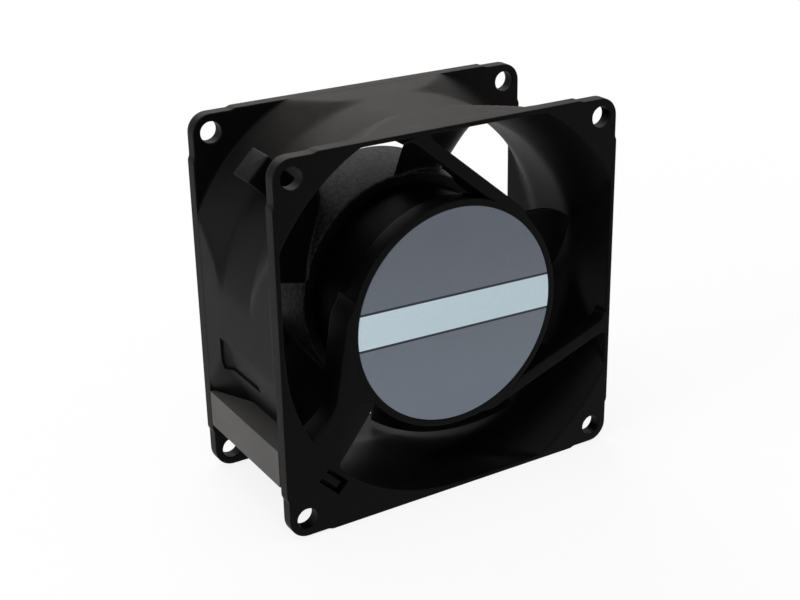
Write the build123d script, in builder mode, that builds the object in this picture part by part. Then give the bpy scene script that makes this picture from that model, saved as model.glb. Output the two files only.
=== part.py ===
from build123d import *
from math import atan2, cos, degrees, radians, sin, tan
import os

# A square axial fan with an external-rotor shaded-pole motor.
# X runs right and Z up in the square faces. Y is the spindle, and the front face, which
# carries the struts and the nameplate, looks towards -Y. The origin is the middle of the fan.
# Depths are counted from the front face towards the rear. Lengths are millimetres.

# Frame
WIDTH = 80.0
DEPTH = 38.0
FLANGE_THICKNESS = 3.0
EAR_SETBACK = 0.35
EAR_LENGTH = 10.0
CORNER_RADIUS = 4.0
HOLE_SPACING = 71.5
HOLE_DIAMETER = 4.5
BORE_RADIUS = 38.8
MOUTH_RADIUS = 44.7
MOUTH_FLAT = 39.0
FLARE_DEPTH = 12.5
FLARE_BULGE = 0.7
DUCT_RADIUS = 40.4
DUCT_SHOULDER_RADIUS = 44.3

# Spider that holds the motor in the front opening
PLATE_RADIUS = 24.5
PLATE_THICKNESS = 2.8
PLATE_RIM_WIDTH = 1.3
PLATE_RIM_DEPTH = 4.4
LABEL_RADIUS = 23.0
LABEL_SEAT_RADIUS = 23.1
LABEL_RECESS = 0.3
LABEL_THICKNESS = 0.25
STRUT_ANGLES = (50.0, -70.0, 170.0)
STRUT_OUTER_EDGE = 25.6
STRUT_WIDTH = 2.7
STRUT_DEPTH = 4.0
STRUT_LEAD_IN = 4.0
STRUT_LENGTH = 34.0
WEB_OUTLINE = ((-33.7, -18.3), (-28.8, -14.8), (-25.0, 0.0), (-16.0, -12.0), (-20.3, -15.9), (-28.0, -26.0),
               (-31.0, -27.0), (-36.0, -20.0))
WEB_DEPTH = 5.6
BOSS_RADIUS = 8.0
BOSS_REAR = 6.2

# Earth post, marking recess and slot of the frame
POST_ANGLE = 135.0
POST_HEIGHT = 48.3
POST_ROOT_RADIUS = 39.3
POST_WIDTH = 6.5
POST_LENGTH = 7.0
POST_OFFSET = 1.3
RECESS_DEPTH = 0.5
RECESS_FRONT = 13.0
RECESS_LENGTH = 15.0
RECESS_MIDDLE = -8.5
RECESS_HEIGHT = 6.0
SLOT_PLACE = (-29.6, -29.2)
SLOT_ANGLE = -45.0
SLOT_LENGTH = 6.0
SLOT_WIDTH = 3.3
TONGUE_LENGTH = 4.4
TONGUE_WIDTH = 1.5

# Terminal block between the flanges, with a socket that opens downwards
BLOCK_TOP = -20.8
BLOCK_HEIGHT = 8.0
BLOCK_THICKNESS = 9.6
BLOCK_FRONT = 3.3
SOCKET_DEPTH = 5.6
SOCKET_WIDTH = 4.4
SOCKET_LENGTH = 20.0
SOCKET_MIDDLE = 16.0
TAB_X = -37.0
TAB_SPACING = 11.0
TAB_WIDTH = 2.8
TAB_THICKNESS = 0.5
TAB_BOTTOM = -28.0

# Leads from the terminals to the winding, one behind the other in a groove of the web
LEAD_RADIUS = 0.55
LEAD_BEND = 0.9
LEAD_Z = -22.0
LEAD_TURN = (-32.55, LEAD_Z)
GROOVE_FRONT = 2.8
GROOVE_WIDTH = 1.5
LIVE_LEAD_DEPTH = 3.5
LIVE_LEAD_START = (-8.4, -4.8)
NEUTRAL_LEAD_DEPTH = 4.7
NEUTRAL_LEAD_START = (-10.3, -6.15)
NEUTRAL_LEAD_X = -35.3

# Bearings and shaft
TUBE_RADIUS = 6.0
TUBE_REAR = 29.0
SHOULDER_RADIUS = 3.4
SHAFT_RADIUS = 2.0
SHAFT_FRONT = 3.6
SHAFT_REAR = 35.6
CLIP_GROOVE_RADIUS = 1.6
CLIP_GROOVE_FRONT = 4.4
CLIP_RADIUS = 3.2
CLIP_THICKNESS = 0.55
CLIP_GAP = 2.2
BEARING_SEAT_RADIUS = 4.5
BEARING_RADIUS = 4.49
BEARING_WIDTH = 4.0
INNER_RACE_RADIUS = 2.65
OUTER_RACE_RADIUS = 3.85
BALL_RADIUS = 0.8
BALL_PITCH_RADIUS = 3.25
BALL_COUNT = 8
GROOVE_RADIUS = 0.85
CAGE_THICKNESS = 0.8
CAGE_WIDTH = 2.5
SHIELD_BORE_RADIUS = 2.75
SHIELD_RADIUS = 3.98
SHIELD_SEAT_RADIUS = 4.0
SHIELD_SEAT_DEPTH = 0.3
SHIELD_THICKNESS = 0.2
FRONT_BEARING_DEPTH = 5.0
REAR_BEARING_DEPTH = 24.5
SPRING_HEIGHT = 0.7
SPRING_THICKNESS = 0.32
SPRING_RADIUS = 4.42
SPRING_BORE_RADIUS = 3.5
SPRING_FLAT = 0.2

# Stator
STACK_FRONT = 11.0
STACK_LENGTH = 18.0
STATOR_RADIUS = 16.6
POLES = 4
POLE_START = 45.0
POLE_WIDTH = 5.0
POLE_ROOT_RADIUS = 8.2
SHOE_INNER_RADIUS = 13.4
SHOE_GAP = 3.6
SHADE_RADIUS = 15.17
SHADE_ANGLE = 30.0
SHADE_SPAN = 5.45
SHADE_BAR = 0.8
NOTCH_ANGLE = 20.0
NOTCH_RADIUS = 15.7
NOTCH_DEPTH = 2.0
NOTCH_WIDTH = 1.15
INSULATOR_THICKNESS = 0.8
INSULATOR_HUB_RADIUS = 8.25
CHEEK_INNER_RADIUS = 13.3
CHEEK_OUTER_RADIUS = 14.1
CHEEK_GAP = 12.0
COIL_BUILD = 2.3
COIL_CLEARANCE = 0.1
COIL_INNER_RADIUS = 8.3
COIL_LENGTH = 4.0
COIL_CORNER = 1.6

# Rotor
ROTOR_BORE_RADIUS = 16.9
ROTOR_STACK_RADIUS = 20.95
CAGE_BARS = 17
CAGE_BAR_RADIUS = 0.8
CAGE_BAR_PITCH_RADIUS = 18.0
CAGE_RING_INNER_RADIUS = 17.0
CAGE_RING_OUTER_RADIUS = 19.6
CAGE_RING_THICKNESS = 2.0
CUP_RADIUS = 22.2
CUP_BORE_RADIUS = 21.0
CUP_SHOULDER_RADIUS = 20.4
CUP_FRONT = 6.0
CUP_REAR = 35.2
CUP_FLOOR = 1.4
CUP_EDGE = 1.4
BUSH_NOSE_RADIUS = 2.6
BUSH_RADIUS = 6.4
BUSH_FRONT = 30.4
SPIGOT_RADIUS = 3.4
RIVET_RADIUS = 4.2
RIVET_HEIGHT = 0.6

# Impeller
HUB_RADIUS = 24.6
HUB_FRONT = 20.0
HUB_REAR = 36.4
HUB_BORE_RADIUS = 22.25
HUB_FRONT_EDGE = 0.4
HUB_REAR_EDGE = 1.0
HUB_LIP_RADIUS = 15.0
TIP_RADIUS = 38.0
ROOT_RADIUS = 24.2
BLADES = 5
BLADE_ANGLE = 71.0
BLADE_REAR_ANGLE = 51.0
BLADE_REAR_DEPTH = 33.4
BLADE_EDGE = 0.8
# Distance of the section from the spindle, angle and depth of its front edge, and its thickness
BLADE_SECTIONS = ((20.5, 95.0, 21.0, 2.0), (24.5, 94.2, 19.2, 1.8), (29.0, 93.0, 17.0, 1.6),
                  (33.4, 92.0, 14.0, 1.4), (36.4, 88.0, 10.6, 1.3), (39.0, 84.0, 8.6, 1.2))
# Places along the chord, from the front edge, and the bulge there as a share of the chord
CAMBER = ((0.3, 0.08), (0.7, 0.122))


def at(depth):
    """Y of a point so far behind the front face."""
    return depth - DEPTH / 2


def face_plane(depth):
    """A drawing plane across the spindle, X right and Z up, so far behind the front face."""
    return Plane.XZ.offset(DEPTH / 2 - depth)


def outward_plane(distance, angle):
    """A drawing plane that faces away from the spindle, X rearwards along it and Y around it."""
    outward = Vector(cos(radians(angle)), 0, sin(radians(angle)))
    return Plane(origin=outward * distance, x_dir=(0, 1, 0), z_dir=outward)


def disc(radius, front, rear, mode=Mode.ADD):
    """A disc about the spindle between two depths, in the part being built."""
    with Locations((0, at((front + rear) / 2), 0)):
        Cylinder(radius, rear - front, rotation=(90, 0, 0), mode=mode)


def turned_outline(*points):
    """A closed outline of radii and depths on the XY plane, to be revolved about the spindle."""
    Polygon(*[(radius, at(depth)) for radius, depth in points], align=None)


def groove(start, end, width):
    """A straight slot with round ends between two points of the sketch being drawn."""
    run = Vector(*end) - Vector(*start)
    with Locations((Vector(*start) + Vector(*end)) / 2):
        SlotCenterToCenter(run.length, width, rotation=degrees(atan2(run.Y, run.X)))


def along_route(route, depth):
    """Points in space for a route given in the face plane, at one depth."""
    return [(x, at(depth), z) for x, z in route]


def blade_side(section, side):
    """Points along one side of a blade's section, from its front edge to its rear edge."""
    distance, front_angle, front_depth, thickness = section
    front = Vector(at(front_depth), distance * tan(radians(front_angle - BLADE_ANGLE)))
    rear = Vector(at(BLADE_REAR_DEPTH), distance * tan(radians(BLADE_REAR_ANGLE - BLADE_ANGLE)))
    chord = rear - front
    bulge = Vector(chord.Y, -chord.X).normalized()
    points = [front + bulge * side * BLADE_EDGE / 2]
    for place, camber in CAMBER:
        points.append(front + chord * place + bulge * (chord.length * camber + side * thickness / 2))
    points.append(rear + bulge * side * BLADE_EDGE / 2)
    return points


def save(builder, name):
    """Names a finished sub-part and writes it to its own file."""
    builder.part.label = name
    export_step(builder.part, f"parts/{name}.step")


# Three quarters of a turn from straight down, over the top, to the left stop short of the
# lower left quarter, where the front flange is closed down to the bore.
QUARTER_START = Plane(origin=(0, 0, 0), x_dir=(0, 0, -1), z_dir=(1, 0, 0))
BACKWARD_SPINDLE = Axis((0, 0, 0), (0, -1, 0))
THREE_QUARTERS = 270
# Cutters reach this far past what they cut
OVERSHOOT = 1.0

os.makedirs("parts", exist_ok=True)

# The air passage: a straight bore with a curved mouth at each end, cut off by four flats
with BuildPart() as air_passage:
    disc(BORE_RADIUS, -OVERSHOOT, DEPTH + OVERSHOOT)
    with BuildSketch(QUARTER_START):
        with BuildLine():
            Polyline((0, at(FLARE_DEPTH)), (0, at(0)), (MOUTH_RADIUS, at(0)))
            ThreePointArc((MOUTH_RADIUS, at(0)),
                          ((MOUTH_RADIUS + BORE_RADIUS) / 2 - FLARE_BULGE, at(FLARE_DEPTH / 2)),
                          (BORE_RADIUS, at(FLARE_DEPTH)))
            Line((BORE_RADIUS, at(FLARE_DEPTH)), (0, at(FLARE_DEPTH)))
        make_face()
    revolve(axis=BACKWARD_SPINDLE, revolution_arc=THREE_QUARTERS)
    with BuildSketch(Plane.XY):
        with BuildLine():
            Polyline((0, at(DEPTH - FLARE_DEPTH)), (0, at(DEPTH)), (MOUTH_RADIUS, at(DEPTH)))
            ThreePointArc((MOUTH_RADIUS, at(DEPTH)),
                          ((MOUTH_RADIUS + BORE_RADIUS) / 2 - FLARE_BULGE, at(DEPTH - FLARE_DEPTH / 2)),
                          (BORE_RADIUS, at(DEPTH - FLARE_DEPTH)))
            Line((BORE_RADIUS, at(DEPTH - FLARE_DEPTH)), (0, at(DEPTH - FLARE_DEPTH)))
        make_face()
    revolve(axis=Axis.Y)
    Box(2 * MOUTH_FLAT, 2 * DEPTH, 2 * MOUTH_FLAT, mode=Mode.INTERSECT)

# The outside of the duct: a drum with a cone towards each flange
with BuildPart() as duct_shell:
    disc(DUCT_RADIUS, FLANGE_THICKNESS / 2, DEPTH - FLANGE_THICKNESS / 2)
    with BuildSketch(QUARTER_START):
        turned_outline((0, FLARE_DEPTH), (0, FLANGE_THICKNESS), (DUCT_SHOULDER_RADIUS, FLANGE_THICKNESS),
                       (DUCT_RADIUS, FLARE_DEPTH))
    revolve(axis=BACKWARD_SPINDLE, revolution_arc=THREE_QUARTERS)
    with BuildSketch(Plane.XY):
        turned_outline((0, DEPTH - FLARE_DEPTH), (DUCT_RADIUS, DEPTH - FLARE_DEPTH),
                       (DUCT_SHOULDER_RADIUS, DEPTH - FLANGE_THICKNESS), (0, DEPTH - FLANGE_THICKNESS))
    revolve(axis=Axis.Y)
    Box(WIDTH, DEPTH, WIDTH, mode=Mode.INTERSECT)

# The frame: one casting with two flanges, the duct between them and the motor's spider
with BuildPart() as housing:
    for flange_depth in (0, DEPTH - FLANGE_THICKNESS):
        with BuildSketch(face_plane(flange_depth)):
            RectangleRounded(WIDTH - 2 * EAR_SETBACK, WIDTH - 2 * EAR_SETBACK, CORNER_RADIUS)
            Rectangle(WIDTH - 2 * EAR_LENGTH, WIDTH)
            Rectangle(WIDTH, WIDTH - 2 * EAR_LENGTH)
        extrude(amount=-FLANGE_THICKNESS)
    add(duct_shell.part)
    add(air_passage.part, mode=Mode.SUBTRACT)

    # Plate behind the nameplate, with a rim around its back
    disc(PLATE_RADIUS, 0, PLATE_RIM_DEPTH)

    # Three struts, tangent to the plate, out to the flats and the mouth of the front opening
    with BuildSketch(face_plane(0)):
        for angle in STRUT_ANGLES:
            with Locations(Location((0, 0, 0), (0, 0, angle))):
                with Locations((STRUT_OUTER_EDGE - STRUT_WIDTH / 2, (STRUT_LENGTH - STRUT_LEAD_IN) / 2)):
                    Rectangle(STRUT_WIDTH, STRUT_LENGTH + STRUT_LEAD_IN)
        Circle(MOUTH_RADIUS, mode=Mode.INTERSECT)
        Rectangle(WIDTH - 1, WIDTH - 1, mode=Mode.INTERSECT)
    extrude(amount=-STRUT_DEPTH)

    # Wide web that brings the leads from the lower left corner
    with BuildSketch(face_plane(0)):
        Polygon(*WEB_OUTLINE, align=None)
        Circle(DUCT_RADIUS, mode=Mode.INTERSECT)
    extrude(amount=-WEB_DEPTH)
    disc(PLATE_RADIUS - PLATE_RIM_WIDTH, PLATE_THICKNESS, WEB_DEPTH, mode=Mode.SUBTRACT)

    # Boss around the bearing tube, and seat of the nameplate
    disc(BOSS_RADIUS, PLATE_THICKNESS, BOSS_REAR)
    disc(TUBE_RADIUS, PLATE_THICKNESS, BOSS_REAR, mode=Mode.SUBTRACT)
    disc(LABEL_SEAT_RADIUS, 0, LABEL_RECESS, mode=Mode.SUBTRACT)

    # Earth post on the upper left of the duct
    with BuildSketch(outward_plane(POST_ROOT_RADIUS, POST_ANGLE)):
        with Locations((0, POST_OFFSET)):
            Rectangle(POST_LENGTH, POST_WIDTH)
    extrude(amount=POST_HEIGHT - POST_ROOT_RADIUS)

    # Shallow marking recess on the left of the duct, left bare
    with BuildSketch(face_plane(RECESS_FRONT)):
        Circle(DUCT_SHOULDER_RADIUS)
        Circle(DUCT_RADIUS - RECESS_DEPTH, mode=Mode.SUBTRACT)
        with Locations((-DUCT_RADIUS, RECESS_MIDDLE)):
            Rectangle(WIDTH / 8, RECESS_HEIGHT, mode=Mode.INTERSECT)
    extrude(amount=-RECESS_LENGTH, mode=Mode.SUBTRACT)

    # Groove for the leads along the back of the web and out through the duct wall
    with BuildSketch(face_plane(GROOVE_FRONT)):
        groove(NEUTRAL_LEAD_START, LEAD_TURN, GROOVE_WIDTH)
        groove(LEAD_TURN, (TAB_X, LEAD_Z), GROOVE_WIDTH)
    extrude(amount=GROOVE_FRONT - WEB_DEPTH, mode=Mode.SUBTRACT)

    # Clearance holes through both flanges
    for flange_depth in (0, DEPTH - FLANGE_THICKNESS):
        with BuildSketch(face_plane(flange_depth)):
            with GridLocations(HOLE_SPACING, HOLE_SPACING, 2, 2):
                Circle(HOLE_DIAMETER / 2)
        extrude(amount=-FLANGE_THICKNESS, mode=Mode.SUBTRACT)

    # Slot around a spring tongue in the front flange
    with BuildSketch(face_plane(0)):
        with Locations(Location((*SLOT_PLACE, 0), (0, 0, SLOT_ANGLE))):
            Rectangle(SLOT_LENGTH, SLOT_WIDTH)
            with Locations(((TONGUE_LENGTH - SLOT_LENGTH) / 2, 0)):
                Rectangle(TONGUE_LENGTH, TONGUE_WIDTH, mode=Mode.SUBTRACT)
    extrude(amount=-FLANGE_THICKNESS, mode=Mode.SUBTRACT)
save(housing, "housing")

with BuildPart() as nameplate:
    disc(LABEL_RADIUS, LABEL_RECESS - LABEL_THICKNESS, LABEL_RECESS)
save(nameplate, "nameplate")

# Two flat tabs side by side, held in the block above its socket
TAB_DEPTHS = {"live_tab": SOCKET_MIDDLE - TAB_SPACING / 2, "neutral_tab": SOCKET_MIDDLE + TAB_SPACING / 2}
tab_solids = []
for tab_name, tab_depth in TAB_DEPTHS.items():
    with BuildPart() as tab:
        with BuildSketch(Plane.XY.offset(TAB_BOTTOM)):
            with Locations((TAB_X, at(tab_depth))):
                Rectangle(TAB_THICKNESS, TAB_WIDTH)
        extrude(amount=LEAD_Z - LEAD_RADIUS - TAB_BOTTOM)
    save(tab, tab_name)
    tab_solids.append(tab.part)

# The block fills the space beside the duct between the flanges
LEAD_BORE_RADIUS = GROOVE_WIDTH / 2
LEAD_BORES = ((TAB_X, TAB_DEPTHS["live_tab"]), (NEUTRAL_LEAD_X, TAB_DEPTHS["neutral_tab"]))
with BuildPart() as terminal_block:
    with BuildSketch(face_plane(BLOCK_FRONT)):
        with Locations((-WIDTH / 2, BLOCK_TOP)):
            Rectangle(BLOCK_THICKNESS, BLOCK_HEIGHT, align=(Align.MIN, Align.MAX))
    extrude(amount=BLOCK_FRONT + FLANGE_THICKNESS - DEPTH)
    add(duct_shell.part, mode=Mode.SUBTRACT)
    with BuildSketch(Plane.XY.offset(BLOCK_TOP - BLOCK_HEIGHT)):
        with Locations((TAB_X, at(SOCKET_MIDDLE))):
            Rectangle(SOCKET_WIDTH, SOCKET_LENGTH)
    extrude(amount=SOCKET_DEPTH, mode=Mode.SUBTRACT)
    with BuildSketch(face_plane(BLOCK_FRONT)):
        groove(LEAD_TURN, (TAB_X, LEAD_Z), GROOVE_WIDTH)
    extrude(amount=BLOCK_FRONT - WEB_DEPTH, mode=Mode.SUBTRACT)
    for lead_x, lead_end in LEAD_BORES:
        with BuildSketch(face_plane(BLOCK_FRONT)):
            with Locations((lead_x, LEAD_Z)):
                Circle(LEAD_BORE_RADIUS)
        extrude(amount=BLOCK_FRONT - lead_end - LEAD_BORE_RADIUS, mode=Mode.SUBTRACT)
    with BuildSketch(face_plane(TAB_DEPTHS["neutral_tab"] - LEAD_BORE_RADIUS)):
        groove((NEUTRAL_LEAD_X, LEAD_Z), (TAB_X, LEAD_Z), GROOVE_WIDTH)
    extrude(amount=-2 * LEAD_BORE_RADIUS, mode=Mode.SUBTRACT)
    for tab_solid in tab_solids:
        add(tab_solid, mode=Mode.SUBTRACT)
save(terminal_block, "terminal_block")

# Leads, each from the front of the first coil to its tab
COIL_FRONT = STACK_FRONT - INSULATOR_THICKNESS - COIL_BUILD
LEAD_ROUTES = {
    "live_lead": [(LIVE_LEAD_START[0], at(COIL_FRONT), LIVE_LEAD_START[1])]
    + along_route((LIVE_LEAD_START, LEAD_TURN, (TAB_X, LEAD_Z)), LIVE_LEAD_DEPTH)
    + [(TAB_X, at(TAB_DEPTHS["live_tab"]), LEAD_Z)],
    "neutral_lead": [(NEUTRAL_LEAD_START[0], at(COIL_FRONT), NEUTRAL_LEAD_START[1])]
    + along_route((NEUTRAL_LEAD_START, LEAD_TURN, (NEUTRAL_LEAD_X, LEAD_Z)), NEUTRAL_LEAD_DEPTH)
    + [(NEUTRAL_LEAD_X, at(TAB_DEPTHS["neutral_tab"]), LEAD_Z), (TAB_X, at(TAB_DEPTHS["neutral_tab"]), LEAD_Z)],
}
for lead_name, route in LEAD_ROUTES.items():
    with BuildPart() as lead:
        with BuildLine() as lead_path:
            FilletPolyline(*route, radius=LEAD_BEND)
        with BuildSketch(Plane(origin=lead_path.line @ 0, z_dir=lead_path.line % 0)):
            Circle(LEAD_RADIUS)
        sweep()
    save(lead, lead_name)

# Tube that carries both bearings, with a shoulder for the rear one and for the spring
with BuildPart() as bearing_tube:
    disc(TUBE_RADIUS, PLATE_THICKNESS, TUBE_REAR)
    disc(BEARING_SEAT_RADIUS, PLATE_THICKNESS, FRONT_BEARING_DEPTH + BEARING_WIDTH + SPRING_HEIGHT,
         mode=Mode.SUBTRACT)
    disc(SHOULDER_RADIUS, PLATE_THICKNESS, TUBE_REAR, mode=Mode.SUBTRACT)
    disc(BEARING_SEAT_RADIUS, REAR_BEARING_DEPTH, TUBE_REAR, mode=Mode.SUBTRACT)
save(bearing_tube, "bearing_tube")

# Ball bearings, with ball grooves in both rings and a shield stepped into each end
for end, front in (("front", FRONT_BEARING_DEPTH), ("rear", REAR_BEARING_DEPTH)):
    rear = front + BEARING_WIDTH
    middle = front + BEARING_WIDTH / 2
    groove_ring = Location((0, at(middle), 0), (90, 0, 0))
    with BuildPart() as outer_ring:
        with BuildSketch(Plane.XY):
            turned_outline((OUTER_RACE_RADIUS, front + SHIELD_SEAT_DEPTH), (SHIELD_SEAT_RADIUS, front + SHIELD_SEAT_DEPTH),
                           (SHIELD_SEAT_RADIUS, front), (BEARING_RADIUS, front), (BEARING_RADIUS, rear),
                           (SHIELD_SEAT_RADIUS, rear), (SHIELD_SEAT_RADIUS, rear - SHIELD_SEAT_DEPTH),
                           (OUTER_RACE_RADIUS, rear - SHIELD_SEAT_DEPTH))
        revolve(axis=Axis.Y)
        with Locations(groove_ring):
            Torus(BALL_PITCH_RADIUS, GROOVE_RADIUS, mode=Mode.SUBTRACT)
    save(outer_ring, f"{end}_bearing_outer_ring")

    with BuildPart() as inner_ring:
        disc(INNER_RACE_RADIUS, front, rear)
        disc(SHAFT_RADIUS, front, rear, mode=Mode.SUBTRACT)
        with Locations(groove_ring):
            Torus(BALL_PITCH_RADIUS, GROOVE_RADIUS, mode=Mode.SUBTRACT)
    save(inner_ring, f"{end}_bearing_inner_ring")

    with BuildPart() as balls:
        with Locations(groove_ring):
            with PolarLocations(BALL_PITCH_RADIUS, BALL_COUNT):
                Sphere(BALL_RADIUS)
    save(balls, f"{end}_bearing_balls")

    with BuildPart() as ball_cage:
        disc(BALL_PITCH_RADIUS + CAGE_THICKNESS / 2, middle - CAGE_WIDTH / 2, middle + CAGE_WIDTH / 2)
        disc(BALL_PITCH_RADIUS - CAGE_THICKNESS / 2, middle - CAGE_WIDTH / 2, middle + CAGE_WIDTH / 2,
             mode=Mode.SUBTRACT)
        with Locations(groove_ring):
            with PolarLocations(BALL_PITCH_RADIUS, BALL_COUNT):
                Cylinder(GROOVE_RADIUS, 2 * CAGE_THICKNESS, rotation=(0, 90, 0), mode=Mode.SUBTRACT)
    save(ball_cage, f"{end}_bearing_cage")

    with BuildPart() as shields:
        for shield_front in (front + SHIELD_SEAT_DEPTH - SHIELD_THICKNESS, rear - SHIELD_SEAT_DEPTH):
            disc(SHIELD_RADIUS, shield_front, shield_front + SHIELD_THICKNESS)
            disc(SHIELD_BORE_RADIUS, shield_front, shield_front + SHIELD_THICKNESS, mode=Mode.SUBTRACT)
    save(shields, f"{end}_bearing_shields")

# Disc spring that presses the front bearing forwards, from the shoulder of the tube
SPRING_FRONT = FRONT_BEARING_DEPTH + BEARING_WIDTH
SPRING_REAR = SPRING_FRONT + SPRING_HEIGHT
with BuildPart() as preload_spring:
    with BuildSketch(Plane.XY):
        turned_outline((SPRING_RADIUS, SPRING_FRONT), (SPRING_RADIUS, SPRING_FRONT + SPRING_THICKNESS),
                       (SPRING_BORE_RADIUS + SPRING_FLAT, SPRING_REAR), (SPRING_BORE_RADIUS, SPRING_REAR),
                       (SPRING_BORE_RADIUS, SPRING_REAR - SPRING_THICKNESS),
                       (SPRING_RADIUS - SPRING_FLAT, SPRING_FRONT))
    revolve(axis=Axis.Y)
save(preload_spring, "preload_spring")

with BuildPart() as shaft:
    disc(SHAFT_RADIUS, SHAFT_FRONT, SHAFT_REAR)
    with BuildSketch(face_plane(CLIP_GROOVE_FRONT)):
        Circle(SHAFT_RADIUS)
        Circle(CLIP_GROOVE_RADIUS, mode=Mode.SUBTRACT)
    extrude(amount=CLIP_GROOVE_FRONT - FRONT_BEARING_DEPTH, mode=Mode.SUBTRACT)
save(shaft, "shaft")

# Spring clip in the groove of the shaft, open on one side
with BuildPart() as shaft_clip:
    with BuildSketch(face_plane(FRONT_BEARING_DEPTH - CLIP_THICKNESS)):
        Circle(CLIP_RADIUS)
        Circle(CLIP_GROOVE_RADIUS, mode=Mode.SUBTRACT)
        with Locations((0, CLIP_RADIUS)):
            Rectangle(CLIP_GAP, 2 * CLIP_RADIUS, mode=Mode.SUBTRACT)
    extrude(amount=-CLIP_THICKNESS)
save(shaft_clip, "shaft_clip")

# Stator: a stack with four wound poles, each shoe split by a notch for its shading ring
STACK_REAR = STACK_FRONT + STACK_LENGTH
with BuildPart() as stator_core:
    with BuildSketch(face_plane(STACK_FRONT)):
        Circle(STATOR_RADIUS)
        Circle(SHOE_INNER_RADIUS, mode=Mode.SUBTRACT)
        with PolarLocations(STATOR_RADIUS, POLES):
            Rectangle(STATOR_RADIUS - SHOE_INNER_RADIUS + STATOR_RADIUS / 4, SHOE_GAP, mode=Mode.SUBTRACT)
        with PolarLocations(SHOE_INNER_RADIUS / 2, POLES, start_angle=POLE_START):
            Rectangle(SHOE_INNER_RADIUS + 1, POLE_WIDTH)
        Circle(POLE_ROOT_RADIUS)
        Circle(TUBE_RADIUS, mode=Mode.SUBTRACT)
        with PolarLocations(NOTCH_RADIUS, POLES, start_angle=POLE_START + NOTCH_ANGLE):
            Rectangle(NOTCH_DEPTH, NOTCH_WIDTH, mode=Mode.SUBTRACT)
    extrude(amount=-STACK_LENGTH)
save(stator_core, "stator_core")

# Insulating end pieces, with a cheek at each pole that holds the winding in
CHEEK_HEIGHT = INSULATOR_THICKNESS + COIL_BUILD
for end, plate_depth, cheek_depth in (("front", STACK_FRONT - INSULATOR_THICKNESS, STACK_FRONT - CHEEK_HEIGHT),
                                      ("rear", STACK_REAR, STACK_REAR)):
    with BuildPart() as insulator:
        with BuildSketch(face_plane(plate_depth)):
            with PolarLocations(SHOE_INNER_RADIUS / 2, POLES, start_angle=POLE_START):
                Rectangle(SHOE_INNER_RADIUS, POLE_WIDTH)
            Circle(INSULATOR_HUB_RADIUS)
            Circle(TUBE_RADIUS, mode=Mode.SUBTRACT)
        extrude(amount=-INSULATOR_THICKNESS)
        with BuildSketch(face_plane(cheek_depth)):
            Circle(CHEEK_OUTER_RADIUS)
            Circle(CHEEK_INNER_RADIUS, mode=Mode.SUBTRACT)
            with PolarLocations(CHEEK_OUTER_RADIUS, POLES):
                Rectangle(CHEEK_OUTER_RADIUS / 2, CHEEK_GAP, mode=Mode.SUBTRACT)
        extrude(amount=-CHEEK_HEIGHT)
    save(insulator, f"{end}_insulator")

# One coil round each pole
COIL_WINDOW = (STACK_LENGTH + 2 * INSULATOR_THICKNESS, POLE_WIDTH + 2 * COIL_CLEARANCE)
for number in range(POLES):
    with BuildPart() as coil:
        with BuildSketch(outward_plane(COIL_INNER_RADIUS, POLE_START + number * 360 / POLES)):
            with Locations((at(STACK_FRONT + STACK_LENGTH / 2), 0)):
                RectangleRounded(COIL_WINDOW[0] + 2 * COIL_BUILD, COIL_WINDOW[1] + 2 * COIL_BUILD, COIL_CORNER)
                Rectangle(*COIL_WINDOW, mode=Mode.SUBTRACT)
        extrude(amount=COIL_LENGTH)
    save(coil, f"coil_{number + 1}")

# Copper rings that shade one side of each pole
with BuildPart() as shading_rings:
    for number in range(POLES):
        with BuildSketch(outward_plane(SHADE_RADIUS, POLE_START + SHADE_ANGLE + number * 360 / POLES)):
            with Locations((at(STACK_FRONT + STACK_LENGTH / 2), 0)):
                Rectangle(STACK_LENGTH + 2 * SHADE_BAR, SHADE_SPAN + SHADE_BAR)
                Rectangle(STACK_LENGTH, SHADE_SPAN - SHADE_BAR, mode=Mode.SUBTRACT)
        extrude(amount=SHADE_BAR / 2, both=True)
save(shading_rings, "shading_rings")

# Rotor: a ring of laminations with cast bars and end rings, inside a deep-drawn steel cup
with BuildPart() as rotor_laminations:
    with BuildSketch(face_plane(STACK_FRONT)):
        Circle(ROTOR_STACK_RADIUS)
        Circle(ROTOR_BORE_RADIUS, mode=Mode.SUBTRACT)
        with PolarLocations(CAGE_BAR_PITCH_RADIUS, CAGE_BARS):
            Circle(CAGE_BAR_RADIUS, mode=Mode.SUBTRACT)
    extrude(amount=-STACK_LENGTH)
save(rotor_laminations, "rotor_laminations")

with BuildPart() as rotor_cage:
    for ring_depth in (STACK_FRONT - CAGE_RING_THICKNESS, STACK_REAR):
        with BuildSketch(face_plane(ring_depth)):
            Circle(CAGE_RING_OUTER_RADIUS)
            Circle(CAGE_RING_INNER_RADIUS, mode=Mode.SUBTRACT)
        extrude(amount=-CAGE_RING_THICKNESS)
    with BuildSketch(face_plane(STACK_FRONT)):
        with PolarLocations(CAGE_BAR_PITCH_RADIUS, CAGE_BARS):
            Circle(CAGE_BAR_RADIUS)
    extrude(amount=-STACK_LENGTH)
save(rotor_cage, "rotor_cage")

CUP_FLOOR_FRONT = CUP_REAR - CUP_FLOOR
with BuildPart() as rotor_cup:
    with BuildSketch(Plane.XY):
        turned_outline((CUP_BORE_RADIUS, CUP_FRONT), (CUP_RADIUS, CUP_FRONT), (CUP_RADIUS, CUP_REAR - CUP_EDGE),
                       (CUP_RADIUS - CUP_EDGE, CUP_REAR), (SPIGOT_RADIUS, CUP_REAR),
                       (SPIGOT_RADIUS, CUP_FLOOR_FRONT), (CUP_SHOULDER_RADIUS, CUP_FLOOR_FRONT),
                       (CUP_SHOULDER_RADIUS, STACK_REAR), (CUP_BORE_RADIUS, STACK_REAR))
    revolve(axis=Axis.Y)
save(rotor_cup, "rotor_cup")

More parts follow.
